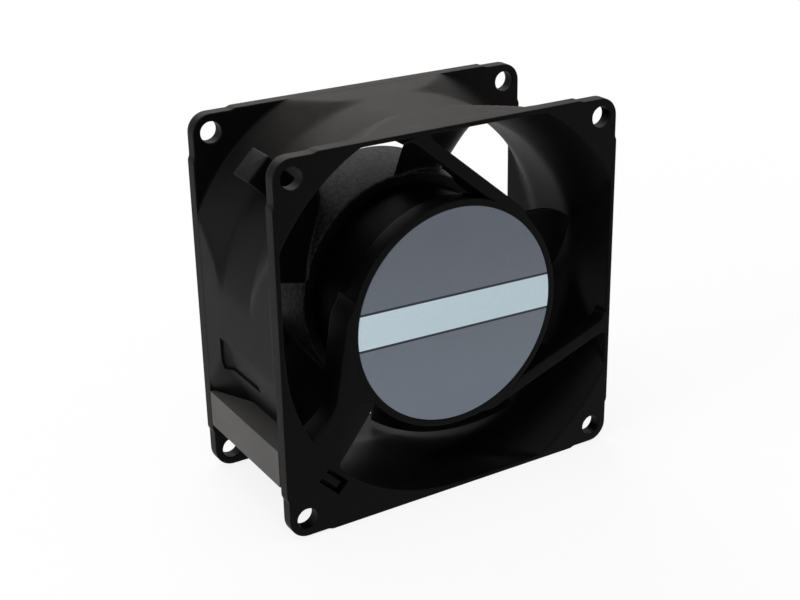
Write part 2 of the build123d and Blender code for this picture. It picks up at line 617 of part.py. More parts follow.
# Bush on the shaft, riveted over behind the floor of the cup
with BuildPart() as rotor_bush:
    with BuildSketch(Plane.XY):
        turned_outline((SHAFT_RADIUS, REAR_BEARING_DEPTH + BEARING_WIDTH),
                       (BUSH_NOSE_RADIUS, REAR_BEARING_DEPTH + BEARING_WIDTH), (BUSH_NOSE_RADIUS, BUSH_FRONT),
                       (BUSH_RADIUS, BUSH_FRONT), (BUSH_RADIUS, CUP_FLOOR_FRONT), (SPIGOT_RADIUS, CUP_FLOOR_FRONT),
                       (SPIGOT_RADIUS, CUP_REAR), (RIVET_RADIUS, CUP_REAR),
                       (SPIGOT_RADIUS, CUP_REAR + RIVET_HEIGHT), (SHAFT_RADIUS, CUP_REAR + RIVET_HEIGHT))
    revolve(axis=Axis.Y)
save(rotor_bush, "rotor_bush")

# One cambered, twisted blade, from inside the hub to the tip
with BuildPart() as blade:
    for section in BLADE_SECTIONS:
        with BuildSketch(outward_plane(section[0], BLADE_ANGLE)):
            with BuildLine():
                outer_side = Spline(*blade_side(section, 1))
                inner_side = Spline(*blade_side(section, -1))
                Line(outer_side @ 0, inner_side @ 0)
                Line(outer_side @ 1, inner_side @ 1)
            make_face()
    loft()
    disc(TIP_RADIUS, 0, DEPTH, mode=Mode.INTERSECT)
    disc(ROOT_RADIUS, 0, DEPTH, mode=Mode.SUBTRACT)

# The impeller: five blades on a ring that is pushed over the rotor cup
with BuildPart() as impeller:
    with BuildSketch(Plane.XY):
        turned_outline((HUB_BORE_RADIUS, HUB_FRONT), (HUB_RADIUS - HUB_FRONT_EDGE, HUB_FRONT),
                       (HUB_RADIUS, HUB_FRONT + HUB_FRONT_EDGE), (HUB_RADIUS, HUB_REAR - HUB_REAR_EDGE),
                       (HUB_RADIUS - HUB_REAR_EDGE, HUB_REAR), (HUB_LIP_RADIUS, HUB_REAR),
                       (HUB_LIP_RADIUS, CUP_REAR), (HUB_BORE_RADIUS, CUP_REAR))
    revolve(axis=Axis.Y)
    for number in range(BLADES):
        add(blade.part.rotate(Axis.Y, number * 360 / BLADES))
save(impeller, "impeller")
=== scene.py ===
"""Dresses a square axial fan: casting, spider, nameplate, impeller, motor, terminals and the stage."""

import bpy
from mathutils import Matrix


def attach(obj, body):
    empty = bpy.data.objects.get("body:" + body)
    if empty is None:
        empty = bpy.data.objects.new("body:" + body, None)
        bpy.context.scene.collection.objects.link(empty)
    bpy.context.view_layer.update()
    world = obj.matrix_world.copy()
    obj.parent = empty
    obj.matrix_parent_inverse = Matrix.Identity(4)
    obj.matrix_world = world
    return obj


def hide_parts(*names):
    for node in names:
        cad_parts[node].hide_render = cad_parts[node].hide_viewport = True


bl_info = {
    "name": "Square Axial Fan",
    "version": (1, 0, 0),
    "blender": (4, 5, 0),
    "location": "View3D > Sidebar > Fan",
    "description": "Builds and finishes the pieces of a square axial fan over its CAD frame",
    "category": "Add Mesh",
}

from math import cos, radians, sin, tan

import bmesh
import bpy
import numpy as np
from mathutils import Matrix, Vector

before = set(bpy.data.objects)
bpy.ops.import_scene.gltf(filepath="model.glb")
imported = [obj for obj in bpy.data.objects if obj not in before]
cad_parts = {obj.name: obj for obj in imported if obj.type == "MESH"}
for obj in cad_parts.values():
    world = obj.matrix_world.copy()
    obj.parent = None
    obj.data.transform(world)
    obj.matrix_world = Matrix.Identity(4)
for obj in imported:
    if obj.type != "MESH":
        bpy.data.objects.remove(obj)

# A millimetre in metres, and the depth of the fan and of its flanges in millimetres
MM = 0.001
DEPTH = 38.0
FLANGE = 3.0
# Distance in metres within which two points are one
SAME_PLACE = 2e-7


# Properties


def length(name, description, millimetres):
    """A length that is shown in Blender's units, given in millimetres."""
    return bpy.props.FloatProperty(
        name=name, description=description, default=millimetres * MM, min=0.0, unit="LENGTH", precision=5
    )


def angle_of(name, description, degrees):
    """An angle, given in degrees."""
    return bpy.props.FloatProperty(
        name=name, description=description, default=radians(degrees), unit="ROTATION", precision=4
    )


def colour(name, description, red, green, blue):
    """A linear colour with full alpha."""
    return bpy.props.FloatVectorProperty(
        name=name,
        description=description,
        default=(red, green, blue, 1.0),
        size=4,
        min=0.0,
        max=1.0,
        subtype="COLOR",
    )


class FrameSizes(bpy.types.PropertyGroup):
    """Sizes of the cast frame."""

    width: length("Width", "Across the square flanges", 80.0)
    flange: length("Flange", "Thickness of each flange", FLANGE)
    ear_setback: length("Ear Setback", "How far the corner ears stand back from the flats", 0.35)
    ear_length: length("Ear Length", "Length of each corner ear along a side", 10.0)
    corner: length("Corner Radius", "Radius of the flange corners", 4.0)
    bore: length("Bore Radius", "Radius of the straight part of the air passage", 38.8)
    mouth: length("Mouth Radius", "Radius of the flared mouths at the flange faces", 44.7)
    flat: length("Mouth Flat", "Distance of the four flats of each mouth from the spindle", 39.0)
    flare: length("Flare Depth", "Depth over which a mouth narrows to the bore", 12.5)
    shell: length("Duct Radius", "Outside radius of the duct between the flanges", 40.4)
    shoulder: length("Duct Shoulder Radius", "Outside radius of the duct where it meets a flange", 44.3)
    edge: length("Edge Radius", "Rounding of the outer edges of the casting", 0.3)
    fillet: length("Fillet Radius", "Rounding between a flange and the duct", 0.5)
    hole_spacing: length("Hole Spacing", "Distance between the corner holes", 71.5)
    hole: length("Hole Diameter", "Diameter of the corner holes", 4.5)


class SpiderSizes(bpy.types.PropertyGroup):
    """Sizes of the plate, struts, web and post."""

    plate: length("Plate Radius", "Radius of the plate behind the nameplate", 24.5)
    seat: length("Seat Radius", "Radius of the shallow seat of the nameplate", 23.1)
    seat_depth: length("Seat Depth", "Depth of the nameplate's seat", 0.3)
    strut_edge: length("Strut Edge", "Distance of a strut's outer edge from the spindle", 25.6)
    strut_width: length("Strut Width", "Width of a strut", 2.7)
    strut_depth: length("Strut Depth", "Depth of a strut", 4.0)
    web_depth: length("Web Depth", "Depth of the wide web at the lower left", 5.6)
    post_width: length("Post Width", "Width of the earth post around the duct", 6.5)
    post_length: length("Post Length", "Length of the earth post along the spindle", 7.0)
    post_height: length("Post Height", "Distance of the post's top from the spindle", 48.3)


class NameplateSizes(bpy.types.PropertyGroup):
    """Sizes of the blank nameplate and its stripe."""

    radius: length("Radius", "Radius of the nameplate", 23.0)
    thickness: length("Thickness", "Thickness of the foil", 0.25)
    stripe_top: length("Stripe Top", "Height of the stripe's upper line above the middle", 4.34)
    stripe_bottom: length("Stripe Bottom", "Depth of the stripe's lower line below the middle", 2.89)
    line: length("Line Width", "Width of the thin dark lines along the stripe", 0.5)
    tilt: angle_of("Tilt", "How far the stripe leans to the right", 1.35)


class ImpellerSizes(bpy.types.PropertyGroup):
    """Sizes of the hub and the blades."""

    hub: length("Hub Radius", "Outside radius of the hub at its front edge", 24.6)
    hub_foot: length("Hub Foot Radius", "Outside radius of the hub at its rear face", 26.4)
    hub_bore: length("Hub Bore Radius", "Inside radius of the hub, over the rotor cup", 22.25)
    hub_front: length("Hub Front", "Depth of the hub's front edge", 20.0)
    hub_rear: length("Hub Rear", "Depth of the hub's rear face", 36.4)
    lip: length("Lip Radius", "Radius of the opening in the hub's rear lip", 15.0)
    tip: length("Tip Radius", "Radius of the blade tips", 38.0)
    root_thickness: length("Root Thickness", "Blade thickness at the hub", 1.9)
    tip_thickness: length("Tip Thickness", "Blade thickness at the tip", 1.3)
    blades: bpy.props.IntProperty(name="Blades", description="Number of blades", default=5, min=2, max=12)


class FinishColours(bpy.types.PropertyGroup):
    """Colours of the visible finishes."""

    paint: colour("Paint", "Black coat of the casting", 0.002, 0.0019, 0.0019)
    # Lighter tone of the casting's upward faces: a dusting together with a painted sheen of the light from
    # above
    dust_and_sheen: colour("Dust", "Light dust on the upward faces of the casting", 0.06, 0.055, 0.052)
    impeller: colour("Impeller", "Black plastic of the blades", 0.003, 0.0029, 0.0029)
    hub: colour("Hub", "Grained skin of the hub", 0.036, 0.034, 0.034)
    block: colour("Terminal Block", "Moulded plastic of the terminal block", 0.05, 0.048, 0.047)
    foil: colour("Foil", "Grey of the nameplate", 0.146, 0.167, 0.202)
    stripe: colour("Stripe", "Pale stripe of the nameplate", 0.59, 0.723, 0.8)
    line: colour("Line", "Thin dark lines of the nameplate", 0.012, 0.018, 0.026)
    cup: colour("Rotor Cup", "Black coat of the drawn rotor cup", 0.004, 0.004, 0.0042)
    copper: colour("Copper", "Enamelled copper of the coils", 0.55, 0.2, 0.07)
    insulator: colour("Insulator", "Cream plastic under the coils", 0.72, 0.68, 0.56)


class StageSizes(bpy.types.PropertyGroup):
    """Camera and light of the stage."""

    lens: bpy.props.FloatProperty(
        name="Lens", description="Focal length of the camera in millimetres", default=65.385, min=1.0
    )
    azimuth: angle_of("Azimuth", "Direction of the camera round the fan", -32.948)
    elevation: angle_of("Elevation", "Height angle of the camera", 21.975)
    roll: angle_of("Roll", "Turn of the camera about its own axis", -0.319)
    floor: length("Floor Radius", "Radius of the floor", 3000.0)


GROUPS = {
    "fan_frame": FrameSizes,
    "fan_spider": SpiderSizes,
    "fan_nameplate": NameplateSizes,
    "fan_impeller": ImpellerSizes,
    "fan_colours": FinishColours,
    "fan_stage": StageSizes,
}


class Sizes:
    """The lengths of a property group, read in millimetres."""

    def __init__(self, group):
        self.group = group

    def __getattr__(self, name):
        return getattr(self.group, name) / MM


# Surfaces


def smooth_min(a, b, reach):
    """The lesser of two values, blended where they are close: half of their sum less the
    root of their squared difference plus the squared reach."""
    return 0.5 * (a + b - np.sqrt((a - b) ** 2 + reach**2))


def smooth_step(value, start, end):
    """Rises from 0 at start to 1 at end as 3t squared less 2t cubed."""
    t = np.clip((value - start) / (end - start), 0.0, 1.0)
    return t * t * (3.0 - 2.0 * t)


def run(start, end, count):
    """Straight line between two (radius, depth) ends, each a number or an array over the
    angle: start plus t times end less start, for t from 0 up to but not including 1."""
    t = np.linspace(0.0, 1.0, count, endpoint=False)
    a = np.stack(np.broadcast_arrays(*start), -1).reshape(-1, 1, 2)
    b = np.stack(np.broadcast_arrays(*end), -1).reshape(-1, 1, 2)
    return a + (b - a) * t[None, :, None]


def bend(start, corner, end, count):
    """Rounded corner: the quadratic curve (1-t) squared times start, plus 2t(1-t) times
    corner, plus t squared times end."""
    t = np.linspace(0.0, 1.0, count, endpoint=False)[None, :, None]
    a, b, c = (np.stack(np.broadcast_arrays(*p), -1).reshape(-1, 1, 2) for p in (start, corner, end))
    return (1 - t) ** 2 * a + 2 * t * (1 - t) * b + t**2 * c


def softened(points, radii, steps=5, closed=True):
    """An outline whose corners are rounded: each corner is the quadratic curve between the
    points at its radius along both edges, at most 45 % of an edge."""
    points = np.asarray(points, float)
    radii = np.broadcast_to(np.asarray(radii, float), len(points))
    parts = []
    for index, corner in enumerate(points):
        if not closed and index in (0, len(points) - 1):
            parts.append(corner[None])
            continue
        before = points[index - 1] - corner
        after = points[(index + 1) % len(points)] - corner
        cut_before = min(radii[index] / np.linalg.norm(before), 0.45)
        cut_after = min(radii[index] / np.linalg.norm(after), 0.45)
        t = np.linspace(0.0, 1.0, steps)[:, None]
        a, b = corner + before * cut_before, corner + after * cut_after
        parts.append((1 - t) ** 2 * a + 2 * t * (1 - t) * corner + t**2 * b)
    return np.concatenate(parts)


def ring_place(angle, radius, depth):
    """Point at an angle round the spindle: x = radius cos, y = depth less half the depth of
    the fan, z = radius sin."""
    angle, radius, depth = np.broadcast_arrays(angle, radius, depth)
    return np.stack([radius * np.cos(angle), depth - DEPTH / 2, radius * np.sin(angle)], -1)


def island(points, wrap_rows=False, wrap_columns=False):
    """A grid of points as (vertices, quads) whose faces look outwards: the quads join each
    point to the next of its row and column, and are turned round where the volume, the sum
    of p0 . (p1 x p2) / 6 over their triangles, comes out negative."""
    rows, columns = points.shape[:2]
    r = np.arange(rows if wrap_rows else rows - 1)[:, None]
    c = np.arange(columns if wrap_columns else columns - 1)[None, :]
    r2, c2 = (r + 1) % rows, (c + 1) % columns
    quads = np.stack([r * columns + c, r2 * columns + c, r2 * columns + c2, r * columns + c2], -1)
    quads = quads.reshape(-1, 4)
    vertices = points.reshape(-1, 3)
    p = vertices[quads]
    volume = (p[:, 0] * (np.cross(p[:, 1], p[:, 2]) + np.cross(p[:, 2], p[:, 3]))).sum()
    if volume < 0:
        quads = quads[:, ::-1]
    return vertices, quads


def capped(points, both=True):
    """A tube of closed rows, shut by a pole at the mean of its first row and, where both ends
    are open, of its last row."""
    first = np.broadcast_to(points[:1].mean(1, keepdims=True), points[:1].shape)
    last = np.broadcast_to(points[-1:].mean(1, keepdims=True), points[-1:].shape)
    return np.concatenate([first, points, last] if both else [first, points])


def turned(profile, segments, closed):
    """A profile of (radius, depth) carried round the spindle."""
    angle = np.linspace(0.0, 2 * np.pi, segments, endpoint=False)[:, None]
    return island(ring_place(angle, profile[None, :, 0], profile[None, :, 1]), True, closed)


def inset_outline(outline, distance):
    """A closed outline moved inwards: each point goes along the mitre of its two edges'
    inward normals."""
    ahead = np.roll(outline, -1, 0) - outline
    behind = outline - np.roll(outline, 1, 0)
    ahead /= np.linalg.norm(ahead, axis=1, keepdims=True)
    behind /= np.linalg.norm(behind, axis=1, keepdims=True)
    area = (outline[:, 0] * np.roll(outline[:, 1], -1) - outline[:, 1] * np.roll(outline[:, 0], -1)).sum()
    turn = np.sign(area)
    normals = turn * np.stack([-(ahead + behind)[:, 1], (ahead + behind)[:, 0]], -1)
    normals /= np.linalg.norm(normals, axis=1, keepdims=True)
    share = np.abs(normals[:, 0] * -behind[:, 1] + normals[:, 1] * behind[:, 0])
    return outline + normals * distance / np.maximum(share, 0.5)[:, None]


def slab(outline, low, high, edge, place, steps=4):
    """A plate between two heights with rounded edges: the outline is moved inwards by
    edge (1 - sin a) at the height edge (1 - cos a) from each face, a from 0 to 90 degrees."""
    a = np.linspace(0.0, np.pi / 2, steps)
    insets = np.concatenate([edge * (1 - np.sin(a)), edge * (1 - np.sin(a[::-1]))])
    heights = np.concatenate([low + edge * (1 - np.cos(a)), high - edge * (1 - np.cos(a[::-1]))])
    rows = [place(inset_outline(outline, inset), height) for inset, height in zip(insets, heights)]
    return island(capped(np.stack(rows)), False, True)


def face_place(outline, depth):
    """Points of the front view at one depth."""
    return np.stack([outline[:, 0], np.full(len(outline), depth - DEPTH / 2), outline[:, 1]], -1)


def merge(mesh, flat=None):
    """Joins points that coincide, and faces that meet at less than this angle in degrees."""
    work = bmesh.new()
    work.from_mesh(mesh)
    bmesh.ops.remove_doubles(work, verts=work.verts, dist=SAME_PLACE)
    if flat:
        bmesh.ops.dissolve_limit(work, angle_limit=radians(flat), verts=work.verts, edges=work.edges)
    work.to_mesh(mesh)
    work.free()


def piece(name, islands, material, body, nodes=(), sharp=40.0):
    """One object from islands in millimetres, merged at its seams and poles, riding on a
    body and standing for CAD nodes."""
    count, vertices, faces = 0, [], []
    for points, quads in islands:
        vertices.append(points)
        faces.append(quads + count)
        count += len(points)
    mesh = bpy.data.meshes.new(name)
    mesh.from_pydata((np.concatenate(vertices) * MM).tolist(), [], np.concatenate(faces).tolist())
    merge(mesh)
    mesh.validate()
    made = bpy.data.objects.new(name, mesh)
    bpy.context.scene.collection.objects.link(made)
    mesh.materials.append(material)
    settle(made, sharp)
    if body:
        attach(made, body)
        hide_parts(*nodes)
    return made


def settle(made, sharp):
    """Smooth faces, with edges sharper than an angle kept crisp."""
    made.data.shade_smooth()
    made.data.set_sharp_from_angle(angle=radians(sharp))


def carve(made, islands, sharp):
    """Cuts closed shapes out of a piece one after another, and takes the cutters away."""
    material = made.data.materials[0]
    cutters = [piece("cutter", [shape], material, None) for shape in islands]
    for cutter in cutters:
        cut = made.modifiers.new("Cut", "BOOLEAN")
        cut.operation = "DIFFERENCE"
        cut.solver = "MANIFOLD"
        cut.object = cutter
    bpy.context.view_layer.update()
    result = bpy.data.meshes.new_from_object(made.evaluated_get(bpy.context.evaluated_depsgraph_get()))
    made.modifiers.clear()
    made.data = result
    made.data.materials.clear()
    made.data.materials.append(material)
    made.data.polygons.foreach_set("material_index", np.zeros(len(made.data.polygons), np.int32))
    for cutter in cutters:
        bpy.data.objects.remove(cutter)
    if not len(made.data.polygons):
        raise RuntimeError(f"{made.name} was cut away")
    settle(made, sharp)


def weigh(made):
    """Large faces lead the shading, so that narrow roundings look crisp."""
    weighted = made.modifiers.new("Weighted Normal", "WEIGHTED_NORMAL")
    weighted.keep_sharp = True


# Finishes


class Signal:
    """A shader value that adds its own Math nodes when it is used in an expression."""

    def __init__(self, tree, socket):
        self.tree, self.socket = tree, socket

    def math(self, operation, *values):
        made = self.tree.nodes.new("ShaderNodeMath")
        made.operation = operation
        for socket, value in zip(made.inputs, values):
            if isinstance(value, Signal):
                self.tree.links.new(value.socket, socket)
            else:
                socket.default_value = value
        return Signal(self.tree, made.outputs[0])

    def __add__(self, other):
        return self.math("ADD", self, other)

    def __radd__(self, other):
        return self.math("ADD", other, self)

    def __sub__(self, other):
        return self.math("SUBTRACT", self, other)

    def __rsub__(self, other):
        return self.math("SUBTRACT", other, self)

    def __mul__(self, other):
        return self.math("MULTIPLY", self, other)

    def __truediv__(self, other):
        return self.math("DIVIDE", self, other)

    def __pow__(self, other):
        return self.math("POWER", self, other)

    def __abs__(self):
        return self.math("ABSOLUTE", self)

    def sine(self):
        return self.math("SINE", self)

    def fract(self):
        return self.math("FRACT", self)

    def larger(self, other):
        return self.math("MAXIMUM", self, other)

    def step(self, start, end):
        """0 before start, 1 after end, a smooth rise between them."""
        made = self.tree.nodes.new("ShaderNodeMapRange")
        made.interpolation_type = "SMOOTHSTEP"
        self.tree.links.new(self.socket, made.inputs["Value"])
        made.inputs["From Min"].default_value = start
        made.inputs["From Max"].default_value = end
        return Signal(self.tree, made.outputs[0])


class Finish:
    """A material on the Principled shader, worked out on Object coordinates."""

    def __init__(self, name, **constants):
        self.material = bpy.data.materials.new(name)
        self.material.use_nodes = True
        self.tree = self.material.node_tree
        self.shader = self.tree.nodes["Principled BSDF"]
        for key, value in constants.items():
            self.shader.inputs[key.replace("_", " ")].default_value = value
        self.place = self.node("ShaderNodeTexCoord", output="Object")
        self.x, self.y, self.z = (self.part(self.place, axis) for axis in "XYZ")

    def node(self, kind, settings=None, inputs=None, output=0):
        """A node of any type: its settings first, then the values and links of its sockets."""
        made = self.tree.nodes.new(kind)
        for key, value in (settings or {}).items():
            setattr(made, key, value)
        for key, value in (inputs or {}).items():
            if isinstance(value, Signal):
                self.tree.links.new(value.socket, made.inputs[key])
            else:
                made.inputs[key].default_value = value
        return Signal(self.tree, made.outputs[output])

    def part(self, vector, axis):
        """One of the three parts of a vector."""
        return self.node("ShaderNodeSeparateXYZ", None, {"Vector": vector}, axis)

    def noise(self, scale, detail=3.0, roughness=0.55, stretch=None):
        """Cloudy noise with this many cells to a metre, stretched along the axes."""
        place = self.place
        if stretch:
            place = self.node("ShaderNodeVectorMath", {"operation": "MULTIPLY"}, {0: self.place, 1: stretch})
        sockets = {"Vector": place, "Scale": scale, "Detail": detail, "Roughness": roughness}
        return self.node("ShaderNodeTexNoise", None, sockets)

    def mix(self, factor, first, second):
        """A colour between two colours."""
        return self.node("ShaderNodeMix", {"data_type": "RGBA"}, {0: factor, 6: first, 7: second}, 2)

    def tones(self, factor, tone, dark, light):
        """A colour between a darker and a lighter kind of one tone."""
        return self.mix(factor, shade(tone, dark), shade(tone, light))

    def radius(self):
        """Distance from the spindle."""
        return (self.x * self.x + self.z * self.z) ** 0.5

    def upward(self):
        """How far a face looks up: 1 for a level one, 0 for an upright one."""
        return self.part(self.node("ShaderNodeNewGeometry", output="Normal"), "Z")

    def feed(self, **values):
        """Links values to the shader's own sockets."""
        for key, value in values.items():
            self.tree.links.new(value.socket, self.shader.inputs[key.replace("_", " ")])

    def bump(self, height, distance, strength=1.0):
        """A fine relief of this height in metres, which completes the material."""
        sockets = {"Height": height, "Distance": distance, "Strength": strength}
        self.feed(Normal=self.node("ShaderNodeBump", None, sockets))
        return self.material


def shade(tone, factor):
    """A colour made lighter or darker."""
    return tuple(min(channel * factor, 1.0) for channel in tone[:3]) + (1.0,)


def casting_paint(colours):
    """Thin black coat over a die casting: a cast skin under it, patchy sheen, and on top a lighter tone that
    is a dusting together with a painted sheen of the light from above.
    """
    finish = Finish("casting_paint", Specular_IOR_Level=0.05)
    skin = finish.noise(1500.0, 4.0, 0.6)
    pits = finish.noise(5200.0, 2.0, 0.5)
    patches = finish.noise(70.0, 4.0, 0.6)
    cloud = finish.noise(500.0, 5.0, 0.7).step(0.3, 0.75)
    # Painted sheen with a dusting: upward faces on the outside of the upper duct are made lighter, partly
    # standing in for light falling from above
    outside = finish.radius().step(39.6 * MM, 40.0 * MM) * finish.z.step(0.0, 8.0 * MM)
    dust_and_sheen = finish.upward().step(0.6, 1.05) * outside * (0.72 + cloud * 0.28)
    tone = finish.tones(patches, colours.paint, 0.6, 1.4)
    finish.feed(
        Base_Color=finish.mix(dust_and_sheen * 0.5, tone, tuple(colours.dust_and_sheen)),
        Roughness=0.36 + patches * 0.14 + skin * 0.08 + dust_and_sheen * 0.12,
    )
    return finish.bump(skin * 0.7 + pits * 0.3, 0.00006, 0.55)


def nameplate_foil(colours, sizes):
    """Printed foil: a pale stripe between two thin dark lines on a grained grey ground that
    is lighter towards the bottom."""
    finish = Finish("nameplate_foil", Specular_IOR_Level=0.3)
    height = finish.z / MM + finish.x / MM * tan(sizes.group.tilt)
    grain = finish.noise(2600.0, 3.0, 0.75)
    cloud = finish.noise(120.0, 3.0, 0.6)
    fall = 1.0 - height.step(-sizes.radius, sizes.radius)
    top, bottom, line, soft = sizes.stripe_top, -sizes.stripe_bottom, sizes.line, 0.05
    inside = height.step(bottom - soft, bottom + soft) * (1.0 - height.step(top - soft, top + soft))
    upper = 1.0 - abs(height - (top + line / 2)).step(line / 2 - soft, line / 2 + soft)
    lower = 1.0 - abs(height - (bottom - line / 2)).step(line / 2 - soft, line / 2 + soft)
    mottle = grain * 0.35 + cloud * 0.15 + fall * 0.5
    ground = finish.tones(mottle, colours.foil, 0.66, 1.34)
    stripe = finish.tones(grain, colours.stripe, 0.9, 1.1)
    tone = finish.mix(inside, ground, stripe)
    finish.feed(
        Base_Color=finish.mix(upper + lower, tone, tuple(colours.line)),
        Roughness=0.44 + grain * 0.12 + inside * 0.04,
    )
    return finish.bump(grain, 0.00002, 0.4)


def impeller_plastic(colours, sizes):
    """Glass-filled black plastic: pale fibre specks, flow marks and a slightly rough skin on
    the blades, and a paler, coarsely grained skin on the hub."""
    finish = Finish("impeller_plastic", Specular_IOR_Level=0.07)
    specks = finish.noise(3200.0, 2.0, 0.7).step(0.62, 0.74)
    flow = finish.noise(160.0, 4.0, 0.6)
    skin = finish.noise(1700.0, 3.0, 0.6)
    grain = finish.noise(1100.0, 4.0, 0.7)
    spread = (sizes.hub_foot - sizes.hub) / (sizes.hub_rear - sizes.hub_front)
    cone = (finish.y + (DEPTH / 2 - sizes.hub_front) * MM) * spread + sizes.hub * MM
    above = finish.radius() - cone
    hub = above.step(-0.3 * MM, -0.15 * MM) * (1.0 - above.step(0.1 * MM, 0.5 * MM))
    blades = finish.tones(flow, colours.impeller, 0.7, 1.6)
    blades = finish.mix(specks * 0.25, blades, shade(colours.hub, 1.2))
    coarse = finish.tones(grain.step(0.3, 0.7), colours.hub, 0.35, 1.7)
    finish.feed(
        Base_Color=finish.mix(hub, blades, coarse),
        Roughness=0.38 + flow * 0.14 + specks * 0.12 + hub * 0.1,
    )
    return finish.bump(skin * 0.3 + specks * 0.1 + grain * hub * 0.9, 0.0002, 0.5)


def block_plastic(colours):
    """Moulded thermoset: fine grain and faint flow lines along the block."""
    finish = Finish("block_plastic", Specular_IOR_Level=0.15)
    grain = finish.noise(2400.0, 3.0, 0.6)
    flow = finish.noise(220.0, 3.0, 0.55, (1.0, 0.25, 1.0))
    finish.feed(
        Base_Color=finish.tones(flow, colours.block, 0.8, 1.5),
        Roughness=0.46 + grain * 0.14,
    )
    return finish.bump(grain, 0.00004, 0.5)


def coated_cup(colours):
    """Deep-drawn cup under a dull black coat: rings from drawing show through it."""
    finish = Finish("coated_cup", Specular_IOR_Level=0.02)
    rings = (finish.radius() * 9000.0 + finish.noise(260.0, 2.0) * 6.0).sine()
    rows = (finish.y * 7000.0 + finish.noise(180.0, 2.0) * 5.0).sine()
    bloom = finish.noise(420.0, 4.0, 0.65)
    finish.feed(
        Base_Color=finish.tones(bloom, colours.cup, 0.6, 1.6),
        Roughness=0.44 + bloom * 0.16 + rings * 0.03,
    )
    return finish.bump(rings * 0.5 + rows * 0.5, 0.00001, 0.5)


def turned_metal(name, tone, roughness, marks=11000.0, streak=0.06):
    """Machined metal: fine rings round the spindle and faint stains."""
    finish = Finish(name)
    rings = (finish.radius() * marks + finish.y * marks * 0.8 + finish.noise(300.0, 2.0) * 4.0).sine()
    stain = finish.noise(500.0, 4.0, 0.6)
    finish.feed(
        Base_Color=finish.tones(stain, tone, 0.86, 1.1),
        Metallic=0.92 + stain * 0.08,
        Roughness=roughness + stain * 0.1 + rings * streak,
    )
    return finish.bump(rings, 0.000006, 0.4)


def sheet_metal(name, tone, roughness, stretch):
    """Rolled metal: long scratches along one axis and faint stains."""
    finish = Finish(name)
    scratch = finish.noise(3000.0, 3.0, 0.65, stretch)
    stain = finish.noise(600.0, 4.0, 0.6)
    finish.feed(
        Base_Color=finish.tones(stain, tone, 0.84, 1.12),
        Metallic=0.9 + stain * 0.1,
        Roughness=roughness + scratch * 0.16 + stain * 0.06,
    )
    return finish.bump(scratch, 0.000008, 0.4)


def laminations():
    """Stack of stamped sheets: half-millimetre bands along the spindle with dark gaps, some rust bloom."""
    finish = Finish("laminations")
    band = (finish.y / MM * 2.0).fract()
    sheet = 1.0 - abs(band - 0.5).step(0.36, 0.46)
    bloom = finish.noise(900.0, 4.0, 0.65)
    tone = finish.mix(bloom, (0.2, 0.2, 0.21, 1.0), (0.36, 0.35, 0.34, 1.0))
    finish.feed(
        Base_Color=finish.mix(sheet, (0.05, 0.045, 0.04, 1.0), tone),
        Metallic=0.5 + sheet * 0.35,
        Roughness=0.62 - sheet * 0.2 + bloom * 0.12,
    )
    return finish.bump(sheet, 0.00003, 0.7)


def winding(colours):
    """Enamelled wire: close turns across the coil, darker between the turns, which is painted shade in the
    grooves.
    """
    finish = Finish("winding", Specular_IOR_Level=0.5)
    turns = (finish.y / MM * 26.0 + finish.noise(500.0, 2.0) * 3.0).sine() * 0.5 + 0.5
    layers = (finish.radius() / MM * 26.0).sine() * 0.5 + 0.5
    # Painted shade: the grooves between the turns are darkened in the colour
    depth = turns * 0.6 + layers * 0.4
    finish.feed(
        Base_Color=finish.tones(depth, colours.copper, 0.35, 1.2),
        Metallic=0.35 + depth * 0.4,
        Roughness=0.3 + (1.0 - depth) * 0.25,
    )
    return finish.bump(depth, 0.00008, 0.8)


def moulded(name, tone, grain_scale=2000.0):
    """Moulded plastic: fine grain and a slow change of tone."""
    finish = Finish(name, Specular_IOR_Level=0.4)
    grain = finish.noise(grain_scale, 3.0, 0.6)
    flow = finish.noise(150.0, 3.0, 0.55)
    finish.feed(
        Base_Color=finish.tones(flow, tone, 0.86, 1.1),
        Roughness=0.42 + grain * 0.16,
    )
    return finish.bump(grain, 0.00003, 0.45)


def dress(node, material):
    """Gives a CAD node its finish."""
    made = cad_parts.get(node)
    if made is None:
        raise RuntimeError(f"the frame has no node {node}")
    made.data.materials.clear()
    made.data.materials.append(material)


# Shapes of the pieces

STRUT_ANGLES = (50.0, -70.0, 170.0)
# Middle and half width in degrees of the stretch of the mouth's edge that runs on into the
# web, and half width and fade of the one at a strut, where that edge isn't rounded
WEB_JOIN = (216.5, 10.0)
STRUT_JOIN = (4.0, 2.0)
# Bulge of the flare, how softly it meets the flats, and how softly the duct's cone meets its limit
FLARE_BULGE, FLAT_BLEND, CONE_BLEND = 2.8, 0.25, 0.2
# A strut's middle line from the spindle, its front and the web's below the plate's, how far it starts
# behind the tangent point and goes into the wall, and the length over which it swells
STRUT_LINE = 24.25
STRUT_FRONT = 0.012
WEB_FRONT = 0.014
STRUT_TAIL = 4.0
STRUT_SINK = 0.4
STRUT_SWELL = 2.2
# Where along a strut its deeper heel at the plate fades out, how much deeper that is, and
# how far and over which stretch the heel's back stands out towards the hub
STRUT_HEEL = (18.0, 20.0)
STRUT_HEEL_DEPTH = 3.2
STRUT_HEEL_SIDE = 0.7
STRUT_HEEL_STRETCH = (12.0, 16.0)
# Start and end of the stretch in which a strut's inner side draws in at the plate, and by how
# much, and the same for its outer side
STRUT_INNER_TAPER = (10.0, 6.0, 0.45)
STRUT_OUTER_TAPER = (1.0, -3.5, 1.25)
# Rounding of the terminal block's edges
BLOCK_ROUNDING = 0.25
# The plate's rim: inner radius, depth, and the depth of the plate inside it
PLATE_RIM = (23.2, 4.4, 2.8)
# The boss round the bearing tube: inner radius, outer radius and depth
PLATE_BOSS = (6.0, 8.0, 6.2)
